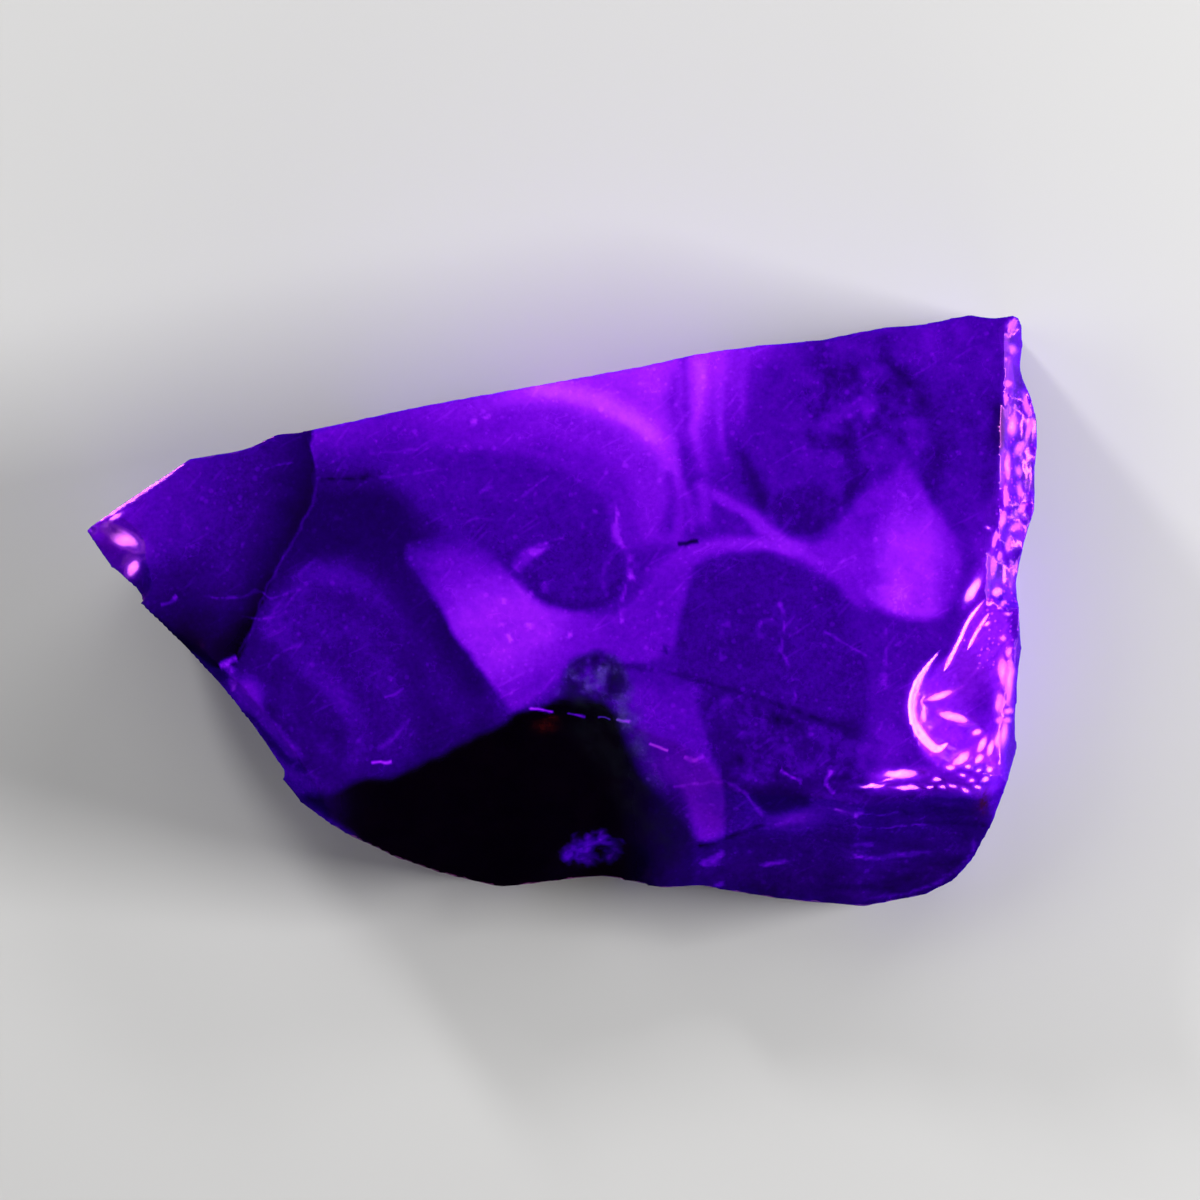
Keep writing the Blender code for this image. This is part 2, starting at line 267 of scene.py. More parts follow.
# Thin marks, in photo pixels: width, how much paler the stone is there, how far beads
# break it up, how deep its groove is in millimetres, and its line.
MARKS = {
    "cracks": [
        (3.0, 0.13, 0, 0.012, [
            (306, 434), (313, 456), (317, 480), (313, 500), (306, 517), (296, 537), (284, 556),
            (272, 578), (262, 598), (255, 618), (247, 638), (233, 664)]),
        (6.8, 0.30, 0.8, 0, [
            (612, 500), (617, 516), (615, 530), (621, 545), (629, 558), (630, 574), (625, 590),
            (620, 604), (622, 622)]),
        (4.0, 0.13, 0.6, 0, [(622, 548), (608, 562), (603, 580), (606, 598)]),
        (6.0, -0.08, 0.8, 0, [
            (610, 664), (650, 668), (690, 677), (740, 692), (790, 709), (830, 723), (868, 732)]),
        (5.0, -0.14, 0.6, 0, [(318, 478), (345, 479), (376, 476)]),
        (3.0, 0.16, 0.7, 0, [(378, 478), (410, 474), (440, 468)]),
        (2.6, 0.12, 0.7, 0, [(368, 454), (400, 451), (430, 448)]),
    ],
    "needles": [
        (4.4, 0.30, 0.3, 0, [(160, 604), (170, 602), (177, 595)]),
        (11.0, 0.50, 0.5, 0, [(514, 571), (523, 561), (534, 552), (550, 543)]),
        (4.0, 0.16, 0.8, 0, [(538, 548), (552, 541), (566, 539)]),
        (3.2, 0.16, 0.6, 0, [(512, 503), (535, 487), (550, 475)]),
        (3.0, 0.16, 0.6, 0, [(462, 526), (474, 519), (498, 519)]),
        (5.0, 0.18, 0.4, 0, [(480, 493), (494, 485)]),
        (3.0, 0.24, 0.4, 0, [(822, 630), (848, 645), (868, 656)]),
        (6.0, 0.24, 1.0, 0, [(780, 600), (784, 625), (782, 650), (792, 672), (797, 707)]),
        (6.0, 0.20, 1.0, 0, [(884, 618), (886, 650), (884, 692)]),
        (6.0, 0.20, 1.0, 0, [(735, 612), (722, 640), (718, 665)]),
        (6.0, 0.26, 0.6, 0, [(763, 640), (758, 630), (762, 621), (774, 620)]),
    ],
    "band_edges": [
        (4.6, -0.40, 0, 0.02, [(677, 543), (688, 543), (699, 542)]),
        (4.0, 0.24, 0.5, 0, [(722, 779), (742, 792), (755, 806), (766, 821)]),
        (5.0, -0.22, 0.3, 0, [(696, 849), (728, 840), (766, 826)]),
        (4.0, 0.22, 0.5, 0, [(672, 788), (700, 784), (724, 781)]),
    ],
    "dashes": [
        # Mostly pale dashes along the ridge where the face breaks off: painted highlights where the ridge
        # glints, and partly the paler chipped edge.
        (2.6, 0.85, 0, 0, [(530, 707), (554, 711)]),
        (2.4, 0.65, 0.3, 0, [(566, 713), (586, 717)]),
        (2.4, 0.5, 0.3, 0, [(598, 717), (612, 719)]),
        (2.6, 0.6, 0, 0, [(617, 719), (630, 723)]),
        (3.2, 0.7, 0, 0, [(648, 745), (668, 752)]),
        (4.0, 0.45, 0.4, 0, [(683, 757), (694, 761), (706, 755)]),
        (3.6, 0.75, 0, 0, [(371, 764), (392, 761)]),
        (6.0, 0.2, 0.6, 0, [(376, 750), (392, 738), (408, 718)]),
        (3.6, 0.26, 0.3, 0, [(384, 698), (405, 688)]),
        (4.0, 0.6, 0.6, 0, [(780, 771), (803, 781)]),
        (5.0, 0.55, 0.5, 0, [(832, 769), (826, 782), (834, 794)]),
        (4.0, 0.35, 0.7, 0, [(832, 810), (845, 812), (860, 818)]),
    ],
    "crackle": [
        (3.2, 0.22, 0.7, 0, [(200, 596), (238, 598), (258, 590), (272, 598), (288, 592), (304, 588)]),
        (3.0, 0.17, 0.7, 0, [(240, 616), (268, 618), (284, 612)]),
        (3.0, 0.15, 0.7, 0, [(262, 470), (278, 465), (294, 463)]),
        (5.0, 0.30, 1.0, 0, [(462, 421), (478, 421), (492, 416)]),
        (9.0, -0.22, 0, 0, [(662, 648), (668, 650)]),
        (7.0, 0.16, 0, 0, [(689, 529), (693, 531)]),
    ],
    "beads": [
        (6.0, 0.34, 0, 0, [(616, 512), (620, 514)]),
        (5.0, 0.30, 0, 0, [(627, 575), (637, 580)]),
        (5.0, 0.26, 0, 0, [(621, 618), (624, 622)]),
        (6.0, 0.22, 0, 0, [(504, 597), (505, 603)]),
        (6.0, 0.24, 0, 0, [(506, 633), (512, 641)]),
        (6.0, 0.26, 0, 0, [(528, 592), (531, 595)]),
        (6.0, 0.20, 0, 0, [(529, 622), (531, 630)]),
        (6.0, 0.24, 0, 0, [(566, 634), (571, 636)]),
        (5.0, 0.20, 0, 0, [(594, 510), (597, 514)]),
        (5.0, 0.12, 0, 0, [(582, 524), (585, 530)]),
        (6.0, 0.16, 0, 0, [(544, 582), (546, 592)]),
        (5.0, 0.20, 0, 0, [(502, 622), (504, 626)]),
    ],
    "lower_right": [
        (3.2, 0.20, 0.7, 0, [(848, 826), (880, 829), (920, 827), (945, 832)]),
        (4.2, 0.28, 0.7, 0, [(850, 846), (868, 846), (884, 848)]),
        (4.2, 0.34, 0.6, 0, [(852, 858), (880, 861), (908, 857), (938, 856)]),
        (3.2, 0.16, 0.8, 0, [(850, 812), (880, 816), (905, 813)]),
        (4.4, 0.22, 0.4, 0, [(980, 836), (973, 857), (957, 876), (936, 889), (903, 899), (860, 903)]),
        (6.0, 0.14, 0.7, 0, [(742, 836), (770, 828), (806, 818)]),
        (5.0, 0.16, 0.7, 0, [(704, 858), (716, 866), (732, 862), (740, 852)]),
        (4.0, 0.12, 0.8, 0, [(772, 850), (790, 862), (800, 876)]),
        (5.0, 0.14, 0.8, 0, [(826, 806), (850, 816), (866, 812)]),
    ],
    "glints": [
        # Painted highlights: the first five marks are painted pale where small chips glint; the last two
        # are pale feathers in the stone.
        (9.0, 0.42, 0.5, 0, [(702, 869), (714, 861), (727, 853)]),
        (5.0, 0.46, 0.3, 0, [(763, 868), (776, 866), (789, 863)]),
        (5.0, 0.30, 0, 0, [(718, 889), (726, 887)]),
        (8.0, 0.62, 0.3, 0, [(219, 667), (228, 662), (237, 658)]),
        (6.5, 0.55, 0.6, 0, [(227, 664), (231, 677), (233, 693)]),
        (5.0, 0.17, 0.6, 0, [(298, 577), (308, 566), (320, 559)]),
        (4.0, 0.15, 0.8, 0, [(268, 662), (290, 648), (312, 644), (328, 630)]),
    ],
}

ALL_MARKS = [mark for group in MARKS.values() for mark in group]

# Chips that catch the light from the right, in photo pixels: centre, length, width
# and the angle their length is turned, counter-clockwise from the right.
CHIPS = [
    (973, 590, 36, 13, 60), (956, 718, 36, 10, -15), (941, 696, 30, 7, 18), (978, 732, 14, 9, 15),
    (984, 745, 19, 9, 65), (992, 748, 17, 7, 72), (1000, 740, 18, 7, 80), (962, 759, 22, 10, 35),
    (950, 767, 13, 7, 5), (980, 759, 12, 7, 45), (969, 767, 10, 6, 0), (979, 770, 9, 6, 20),
    (991, 769, 10, 8, 40), (986, 780, 9, 6, 20), (962, 776, 10, 5, -10), (972, 780, 9, 5, -10),
    (953, 786, 12, 5, -12), (966, 790, 12, 6, -20), (978, 787, 9, 5, -20), (900, 774, 42, 11, 3),
    (872, 786, 32, 5, 3), (908, 788, 30, 5, 0), (937, 780, 13, 5, 5), (930, 787, 12, 4, -5),
    (943, 788, 11, 5, -10), (888, 780, 18, 4, 10), (998, 592, 12, 9, 60), (988, 624, 9, 5, 30),
]
# And those of the rim, which are duller.
RIM_CHIPS = [
    (1004, 672, 28, 9, 90), (1012, 680, 46, 8, 88), (1001, 704, 18, 8, 82), (1011, 711, 9, 6, 0),
    (1010, 721, 9, 6, 0), (1002, 720, 8, 6, 0), (1006, 735, 24, 8, 82), (1005, 639, 7, 6, 0),
    (1010, 652, 12, 7, 80), (1004, 603, 8, 6, 40), (994, 566, 19, 6, 85), (1008, 614, 8, 5, 0),
    (1012, 325, 12, 11, 90), (1013, 350, 10, 10, 90), (1008, 383, 8, 7, 0), (1006, 400, 14, 6, 90),
    (1013, 425, 20, 10, 90), (1028, 405, 20, 6, 100), (1031, 428, 19, 5, 80),
    (1021, 447, 15, 6, 60), (1008, 466, 26, 6, 88), (1006, 495, 20, 6, 88), (1020, 470, 10, 6, 90),
    (1022, 490, 15, 6, 100), (1024, 508, 10, 6, 60), (1003, 520, 19, 6, 80), (1017, 527, 12, 6, 30),
    (995, 540, 17, 6, 75), (1010, 545, 14, 6, 80), (1001, 556, 10, 5, 80), (988, 528, 7, 4, 0),
]
RIGHT_CHIPS = CHIPS + RIM_CHIPS

# Edges that catch the same light: width, how fully they face it, and a line.
GLINTS = {
    "crescent": (9.6, 1.0, [
        (941, 649), (924, 671), (914, 690), (911, 710), (917, 728), (928, 742), (938, 749), (949, 743),
    ]),
    "ridge": (6.0, 1.0, [(986, 598), (970, 618), (959, 641), (952, 656), (944, 673)]),
    "ridge_2": (4.0, 1.0, [(990, 612), (978, 630), (968, 650)]),
}
# Chips and edges that catch the light from the upper left, in the same form.
TIP_CHIPS = [
    (119, 537, 50, 19, -28), (112, 520, 28, 6, 38), (131, 568, 23, 14, 60), (93, 529, 13, 9, 40),
    (102, 525, 9, 5, 40),
]
TIP_GLINTS = {
    "tip_edge": (4.0, 0.90, [(88, 528), (110, 513), (136, 495), (162, 477), (184, 462)]),
}

# The slice's top edge, in photo pixels.
TOP_EDGE_X = [300, 440, 600, 760, 900, 1020]
TOP_EDGE_Y = [438, 405, 374, 347, 328, 318]

# The studio's area lights: compass and elevation, size in metres, watts, and a
# rectangle's height.
LIGHTS = {
    "soft_back": ((110, 42), 0.34, 0.5), "soft_left": ((165, 40), 0.30, 0.5),
    "front": ((270, 12), 0.50, 0.75, 0.12), "right": (RIGHT_LIGHT, 0.20, 3.4, 0.05),
    "strip_back": ((62, 24), 0.34, 0.7, 0.05), "tip": (TIP_LIGHT, 0.07, 1.2),
}
# The sky's strength at the horizon, which fades out towards its top.
HORIZON = 0.12


# Noise


def lattice(ix, iy, iz, seed):
    """A value from -1 to 1 that is fixed for each lattice point and seed."""
    n = (ix * 374761393 + iy * 668265263 + iz * 1274126177 + seed * 362437) & 0xFFFFFFFF
    n = ((n ^ (n >> 13)) * 1103515245) & 0xFFFFFFFF
    n = ((n ^ (n >> 16)) * 2246822519) & 0xFFFFFFFF
    return ((n ^ (n >> 15)) & 0xFFFFFF) / float(0x800000) - 1.0


def noise(points, size, seed):
    """Smooth noise from -1 to 1 whose lumps are about that size."""
    q = points / size
    cell = np.floor(q).astype(np.int64)
    part = q - cell
    part = part**3 * (part * (part * 6 - 15) + 10)
    total = np.zeros(len(points))
    for corner in np.ndindex(2, 2, 2):
        weight = np.prod(np.where(corner, part, 1 - part), axis=1)
        total += weight * lattice(*(cell + corner).T, seed)
    return total


def layered(points, size, seed, layers=3):
    """Noise with finer and fainter layers on it."""
    total = sum(noise(points, size / 2**i, seed + i) / 2**i for i in range(layers))
    return total / (2 - 0.5 ** (layers - 1))


def ease(x, low, high):
    """Rises smoothly from 0 to 1 as x goes from low to high."""
    t = np.clip((x - low) / (high - low), 0, 1)
    return t * t * (3 - 2 * t)


def within(x, start, full, fade, end):
    """Rises from 0 to 1 between start and full, and falls back between fade and end."""
    return ease(x, start, full) * (1 - ease(x, fade, end))


def peak(x, half_width, power=2):
    """1 where x is 0, falling away about that far to each side."""
    return np.exp(-np.abs(x / half_width) ** power)


def mix(a, b, weight):
    return a + (b - a) * weight


# Curves


def smooth_curve(points, closed=False, steps=5):
    """Points along a smooth curve through the given ones."""
    p = np.array(points, float)
    if closed:
        p = np.vstack([p[-1], p, p[0], p[1]])
    else:
        p = np.vstack([2 * p[0] - p[1], p, 2 * p[-1] - p[-2]])
    curve = []
    for a, b, c, d in zip(p, p[1:], p[2:], p[3:]):
        for t in np.arange(steps) / steps:
            bend = 2 * a - 5 * b + 4 * c - d
            curve.append(0.5 * (2 * b + (c - a) * t + bend * t**2 + (3 * b - a - 3 * c + d) * t**3))
    curve.append(p[-2])
    return np.array(curve)


def curve_distance(xy, curve):
    """Distance to a curve, positive on its left, and how far along it, from 0 to 1."""
    best = np.full(len(xy), np.inf)
    side = np.ones(len(xy))
    along = np.zeros(len(xy))
    for i, (a, b) in enumerate(zip(curve, curve[1:])):
        run = b - a
        v = xy - a
        t = np.clip(v @ run / max(run @ run, 1e-9), 0, 1)
        away = ((v - t[:, None] * run) ** 2).sum(axis=1)
        near = away < best
        best[near] = away[near]
        side[near] = np.sign(run[0] * v[near, 1] - run[1] * v[near, 0])
        along[near] = (i + t[near]) / (len(curve) - 1)
    return np.sqrt(best) * side, along


def enclosed(xy, curve):
    """True for the points inside a closed curve."""
    hit = np.zeros(len(xy), bool)
    for (x0, y0), (x1, y1) in zip(curve, np.roll(curve, -1, axis=0)):
        if y0 == y1:
            continue
        crosses = (y0 > xy[:, 1]) != (y1 > xy[:, 1])
        hit ^= crosses & (xy[:, 0] < x0 + (xy[:, 1] - y0) * (x1 - x0) / (y1 - y0))
    return hit


FAR = 70.0


def close_by(xy, curve, reach=FAR):
    """Which points lie within that reach of a curve's box."""
    low = curve.min(axis=0) - reach
    high = curve.max(axis=0) + reach
    return np.flatnonzero(((xy > low) & (xy < high)).all(axis=1))


def depth_inside(xy, loop):
    """How far inside a loop each point is; negative outside, and no lower than -FAR."""
    curve = smooth_curve(loop, closed=True)
    depth = np.full(len(xy), -FAR)
    near = close_by(xy, curve)
    away = np.abs(curve_distance(xy[near], curve)[0])
    depth[near] = np.where(enclosed(xy[near], curve), away, -away)
    return depth


def beside(xy, line, reach=FAR):
    """Signed distance to a line, no more than FAR, and how far along it."""
    curve = smooth_curve(line)
    away = np.full(len(xy), FAR)
    along = np.zeros(len(xy))
    near = close_by(xy, curve, reach)
    away[near], along[near] = curve_distance(xy[near], curve)
    return away, along


def ends(along, start=0.1, stop=0.1):
    """1 along a line's middle, fading out towards both ends."""
    return ease(along, 0, start) * (1 - ease(along, 1 - stop, 1))


def spot(p, name):
    """1 in the middle of a named spot, fading out round it."""
    x, y, width, height, power = SPOTS[name]
    return peak(np.hypot((p[:, 0] - x) / width, (p[:, 1] - y) / height), 1, power)


def filled(tone, inner, p, loop, low, high, share=1.0):
    """The paleness with another inside a loop, blended in from low to high pixels inside it."""
    return mix(tone, inner, share * ease(depth_inside(p, loop), low, high))


# The stone's pattern


def band(tone, p, points, power=2):
    """Blends a band in along a line whose paleness and width change."""
    places = np.array(points, float)
    away, t = beside(p, places[:, :2], reach=places[:, 3].max() * 2.5)
    given = np.linspace(0, 1, len(places))
    width = np.interp(t, given, places[:, 3])
    share = peak(away / width, 1, power) * ends(t, 0.1, 0.15)
    return mix(tone, np.interp(t, given, places[:, 2]), share)


def upper_tone(tone, p, cloud):
    """The pale arc under the top edge, the stripes beside it and the mottled stone right of them."""
    x, y = p.T
    arc, t = beside(p, ARC, reach=160.0)
    arc = -arc
    outer = np.interp(arc, [0, 18, 24, 38, 60, 90], [0.80, 0.84, 0.87, 1.0, 1.0, 0.9])
    steps = [-140, -112, -90, -82, -74, -66, -54, -47, -38, -28, -20, 0]
    tones = [0.33, 0.36, 0.40, 0.42, 0.52, 0.57, 0.57, 0.64, 0.71, 0.70, 0.72, 0.80]
    bands = np.where(arc < 0, np.interp(arc, steps, tones), outer)
    core = 0.38 * np.where(arc < 0, peak(arc, 12), peak(arc, 17))
    bands += core * np.interp(x, [400, 460, 500, 540, 650, 668, 684], [0.1, 0.3, 0.5, 1.0, 1.0, 0.45, 0.0])
    bands -= 0.06 * ease(y, 500, 540) * ease(x, 640, 660)
    reach = ease(t, -0.1, 0.12) * (1 - ease(x, 676, 692)) * (1 - ease(y, 535, 560))
    weight = np.interp(x, [380, 440, 500, 540], [0.25, 0.50, 0.76, 1.0])
    tone = mix(tone, 0.42 + (bands - 0.42) * weight, reach)
    right = ease(x, 735, 765) * (1 - ease(y, 545, 580))
    tone = mix(tone, 0.42 + 0.03 * cloud, right)
    below_edge = y - np.interp(x, TOP_EDGE_X, TOP_EDGE_Y)
    tone += 0.20 * (1 - ease(below_edge, 2, 30)) * within(x, 725, 745, 780, 830)
    tone += 0.12 * (1 - ease(below_edge, 0, 40)) * (1 - ease(x, 380, 480))
    between = np.interp(y, [350, 370, 400, 430, 460, 490], [1.0, 0.96, 0.80, 0.66, 0.53, 0.40])
    fall = 1 - ease(x, 702, 778 - 0.35 * (y - 370))
    beside_arc = ease(x, 680, 692) * (1 - ease(y, 485, 505))
    tone = mix(tone, mix(tone, between, fall), beside_arc)
    for name in ("gap_1", "stripe_1", "stripe_2", "gap_3", "stripe_3", "wedge", "arc_dip", "arc_tail"):
        tone = band(tone, p, BANDS[name])
    return tone


def upper_right_tone(tone, p, mottle):
    """The darker cells above the triangular patch."""
    tone -= 0.03 * spot(p, "ring_middle") + 0.08 * spot(p, "top_shade")
    away, t = beside(p, DARK_RING)
    tone = mix(tone, 0.24, 0.85 * peak(away, 14) * ends(t, 0.15, 0.15))
    tone = band(tone, p, BANDS["cell_shade"])
    cell = depth_inside(p, UPPER_CELL)
    tone = mix(tone, 0.29 + 0.03 * mottle, ease(cell, -6, 8))
    tone += 0.05 * peak(cell, 3)
    tone += 0.10 * spot(p, "top_glow_1") + 0.16 * spot(p, "top_glow_2") + 0.10 * spot(p, "top_glow_3")
    return tone + 0.23 * mottle * spot(p, "smudge") + 0.08 * mottle * ease(p[:, 0], 770, 800)


def left_tone(tone, p, cloud, mottle):
    """The left facet, the field between the crack and the fan, and the bands along the left strip."""
    x, y = p.T
    shade = mix(0.15, 0.25, 1 - ease(y, 478, 500)) + 0.03 * cloud
    limit = np.interp(y, [440, 480, 520, 560, 720], [360, 392, 425, 450, 500])
    tone = mix(tone, shade + 0.04 * ease(y, 540, 600), (1 - ease(x - limit, -25, 30)) * ease(y, 440, 484))
    field = depth_inside(p, LEFT_FIELD)
    arcs = np.cos(np.hypot(x - 285, y - 735) / 9.0 + 2 * cloud)
    inner = 0.32 + 0.03 * arcs + 0.04 * cloud - 0.08 * ease(x, 370, 440) + 0.02 * mottle
    inner += 0.05 * peak(field - 14, 14) * (1 - ease(x, 330, 400))
    tone = mix(tone, inner, ease(field, -14, 14))
    tone = filled(tone, 0.25 + 0.06 * mottle, p, LEFT_PATCH, -10, 14)
    strip = ease(beside(p, STREAK, reach=120.0)[0], 4, 14) * (y > 680) * (x < 330)
    tone = mix(tone, 0.27 + 0.20 * mottle, strip)
    away, t = beside(p, STREAK)
    share = peak(away, 18 - 11 * ease(t, 0, 0.35), 4) * (1 - ease(t, 0.85, 1))
    tone = mix(tone, 0.58 - 0.14 * t + 0.05 * mottle, share)
    away, t = beside(p, LOWER_STREAK)
    tone = mix(tone, 0.46, peak(away, 8) * ends(t, 0.2, 0.3))
    # Painted reflection: the left facet is painted paler towards the tip and darker towards the crack and
    # its foot, a soft reflection of light across it.
    across = x + 0.35 * (y - 500)
    steps = [120, 145, 190, 240, 262, 285, 302]
    facet = np.interp(across, steps, [0.56, 0.49, 0.40, 0.31, 0.25, 0.15, 0.10])
    facet -= 0.10 * ease(y, 560, 640)
    facet -= 0.16 * ease(y + 0.25 * (x - 150), 540, 585) * (1 - ease(x, 175, 235))
    facet += 0.03 * cloud + 0.02 * mottle
    return filled(tone, facet, p, LEFT_FACET, -2, 2)


def lower_tone(tone, p, cloud, mottle, speckle):
    """The dark matrix, the pale band through it and the broken stone along the lower right."""
    x, y = p.T
    cross = y - np.interp(x, [560, 610, 690, 790, 870], [664, 664, 677, 709, 732])
    below = ease(cross, 0, 12) * within(x, 590, 620, 862, 890)
    tone = mix(tone, 0.23 + 0.05 * cloud, below)
    tone = filled(tone, 0.30 + 0.17 * mottle + 0.14 * speckle, p, MOTTLED, -5, 6)
    tone = band(tone, p, BANDS["crack_shade"])
    tone = mix(tone, 0.24, spot(p, "band_shade"))
    tone += 0.12 * spot(p, "row_glow")
    lower = 0.22 + 0.05 * cloud + 0.04 * speckle - 0.08 * ease(y, 855, 900)
    lower += 0.10 * spot(p, "low_glow")
    lower += 0.04 * within(x, 770, 800, 860, 880)
    tone = filled(tone, lower, p, LOWER_RIGHT, -3, 5)
    streaks = layered(np.column_stack([x * 0.22, y * 1.4 - 0.1 * x, 0 * x]), 10, 181, 2)
    tone += 0.07 * streaks * ease(depth_inside(p, LOWER_RIGHT), 0, 12) * ease(x, 820, 850)
    # Painted light: paler on the slope below the break, to make up for the less light that it gets.
    tone += 0.13 * within(y, 787, 795, 812, 835) * within(x, 735, 760, 845, 880)
    tone = filled(tone, 0.13, p, NOTCH, -5, 6, share=0.9)
    tone += 0.17 * peak(np.hypot((x - 794) / 26, (y - 817 + 0.2 * (x - 794)) / 8), 1)
    dark = 0.004 + 0.008 * ease(x, 500, 580) + 0.14 * ease(x, 600, 690) * ease(y, 690, 740)
    tone = filled(tone, dark, p, MATRIX, -2, 10)
    tone += 0.10 * spot(p, "matrix_fringe")
    pale_band = depth_inside(p, PALE_BAND)
    soft = 5 + 16 * (1 - ease(x, 655, 700))
    # Painted light: the pale band is paler lower down, where it lies on the hollow's slope and gets less
    # light.
    band_tone = 0.48 + 0.05 * cloud + 0.02 * speckle + 0.16 * ease(y, 740, 785)
    tone = mix(tone, band_tone, ease(pale_band / soft, -1, 1))
    tone = filled(tone, 0.33 + 0.02 * speckle, p, BAND_FOOT, -3, 3)
    tone = filled(tone, 0.12 + 0.05 * speckle, p, CRYSTAL_SHADE, -6, 8, share=0.85)
    crystals = depth_inside(p, CRYSTALS) + 6 * speckle
    tone = mix(tone, 0.34 + 0.14 * speckle + 0.06 * mottle, ease(crystals, -5, 6))
    return mix(tone, 0.27 + 0.36 * speckle, ease(depth_inside(p, GLINT_PATCH) + 5 * speckle, -4, 6))


def heart_tone(tone, p, cloud, mottle, speckle):
    """The lobes, the fan between them, the strands and the bright triangular patch."""
    x, y = p.T
    lobe = depth_inside(p, LOBE)
    lobe_tone = np.interp(y, [450, 500, 540, 590], [0.42, 0.40, 0.35, 0.33])
    tone = mix(tone, lobe_tone + 0.02 * mottle, ease(lobe, -5 - 12 * (1 - ease(x, 420, 480)), 8))
    tone = filled(tone, 0.34 + 0.015 * mottle, p, SMALL_LOBE, -3, 4)
    tone -= 0.05 * peak(depth_inside(p, SMALL_LOBE) - 4, 6) * ease(y, 560, 590)
    tone = mix(tone, 0.42 + 0.04 * cloud, ease(x, 845, 880) * ease(y, 610, 640))
    for name in ("junction", "fan_shade"):
        tone = band(tone, p, BANDS[name])
    fan = depth_inside(p, FAN)
    down = 0.55 * (x - 400) + (y - 540)
    fan_tone = np.interp(down, [0, 30, 70, 115, 175, 215, 290], [0.40, 0.49, 0.65, 0.90, 0.87, 0.60, 0.50])
    left_border = (1 - ease(fan, 0, 26)) * (1 - ease(y - 0.5 * (x - 500), 640, 690))
    fan_tone -= 0.13 * left_border * (1 - ease(x, 490, 530))
    fan_tone = mix(fan_tone, 0.57 + 0.04 * cloud, ease(x - 0.3 * (y - 620), 540, 605))
    fan_tone += 0.035 * mottle + 0.03 * speckle
    tone = mix(tone, fan_tone, ease(fan, -4, 5))
    tone = filled(tone, 0.33 + 0.03 * cloud + 0.03 * mottle, p, RIGHT_LOBE, -4, 5)
    heart = within(x, 866, 896, 925, 952) * ease(y, 495, 545)
    patch_tone = 0.70 + 0.24 * heart + 0.10 * spot(p, "patch_glow")
    patch_tone -= 0.09 * (1 - ease(y, 462, 505)) + 0.09 * (1 - ease(x, 868, 900)) * (1 - ease(y, 530, 570))
    patch_tone += 0.07 * mottle + 0.06 * speckle * (1 - ease(x, 885, 930))
    tone = filled(tone, patch_tone, p, PATCH, -4, 10)
    for name in ("strand_low", "strand_top", "triangle"):
        tone = band(tone, p, BANDS[name], power=3)
    return tone


def edge_tone(tone, p, cloud, mottle):
    """The bright right corner and the chipped rim above it."""
    x, y = p.T
    tone += 0.14 * ease(x, 955, 985) * within(y, 480, 540, 600, 640)
    tone -= 0.04 * ease(x, 930, 960) * (1 - ease(y, 480, 540)) * ease(y, 360, 420)
    weave = layered(np.column_stack([(x + y) * 0.9, (x - y) * 0.3, 0 * x]), 6, 191, 2)
    field = 0.80 + 0.06 * cloud - 0.20 * spot(p, "corner_shade") + 0.09 * weave
    tone = filled(tone, field, p, CORNER, -4, 8)
    row = peak((y - 780 + 0.05 * (x - 870)) / 11, 1, 4) * within(x, 858, 880, 985, 1000)
    tone = mix(tone, 0.60 + 0.08 * mottle, row)
    away, t = beside(p, RIM)
    outside = ease(-away, -6, 8) * ends(t, 0.02, 0.02)
    cells = layered(np.column_stack([x * 1.5, y, 0 * x]), 15, 171, 2)
    tone = mix(tone, 0.54 + 0.05 * mottle + 0.26 * cells, outside)
    # Painted highlight: a pale vertical streak down the rim where it glints.
    tone += 0.30 * peak((x - 1009) / 7, 1) * within(y, 445, 465, 515, 535)
    return tone - 0.22 * spot(p, "rim_shade")


def thin_marks(p):
    """How much paler the thin marks make the stone, and how deep their grooves are."""
    pale = np.zeros(len(p))
    groove = np.zeros(len(p))
    flat = np.column_stack([p, np.zeros(len(p))])
    p = p + np.column_stack([noise(flat, 9, 131), noise(flat, 9, 137)]) * 1.3
    lumps = ease(noise(flat, 6.5, 141), -0.25, 0.35)
    knots = 0.55 + 0.9 * ease(noise(flat, 11, 149), -0.1, 0.5)
    for width, paler, beads, cut, line in ALL_MARKS:
        away, t = beside(p, line, reach=16.0)
        close = peak(away, width / 2 * mix(1, knots, beads), 3) * ends(t, 0.06, 0.06)
        close *= (np.abs(away) < FAR) * (1 - beads * (1 - lumps))
        pale += paler * close
        groove = np.maximum(groove, cut * close)
    return pale, groove


def stone_tone(xy, depth, normal_z):
    """How pale the stone is at photo pixels, that deep in pixels below the sawn face."""
    hidden = 1 - ease(normal_z, 0.05, 0.35)
    q = np.column_stack([xy, depth])
    drift = hidden * depth
    sway = np.column_stack([layered(q, 110, 41), layered(q, 110, 47)]) * (drift * 0.45)[:, None]
    lean = np.outer(drift, [-0.12, 0.16])
    wander = np.column_stack([layered(q, 60, 11), layered(q, 60, 23)]) * 3
    wander += np.column_stack([noise(q, 13, 31), noise(q, 13, 37)]) * 1.2
    p = xy + wander + sway + lean
    cloud = layered(q, 90, 3, 4)
    mottle = layered(q, 17, 61, 3)
    speckle = layered(q, 7, 67, 2)
    tone = 0.40 + 0.05 * cloud
    tone = upper_tone(tone, p, cloud)
    tone = upper_right_tone(tone, p, mottle)
    tone = left_tone(tone, p, cloud, mottle)
    tone = heart_tone(tone, p, cloud, mottle, speckle)
    tone = lower_tone(tone, p, cloud, mottle, speckle)
    tone = edge_tone(tone, p, cloud, mottle)
    return tone, hidden


# The mesh


def photo_place(points):
    """Photo pixels and depth in pixels of points in millimetres."""
    xy = points[:, :2] / PIXEL * [1, -1] + ORIGIN_PIXEL
    return xy, (FACE - points[:, 2]) / PIXEL


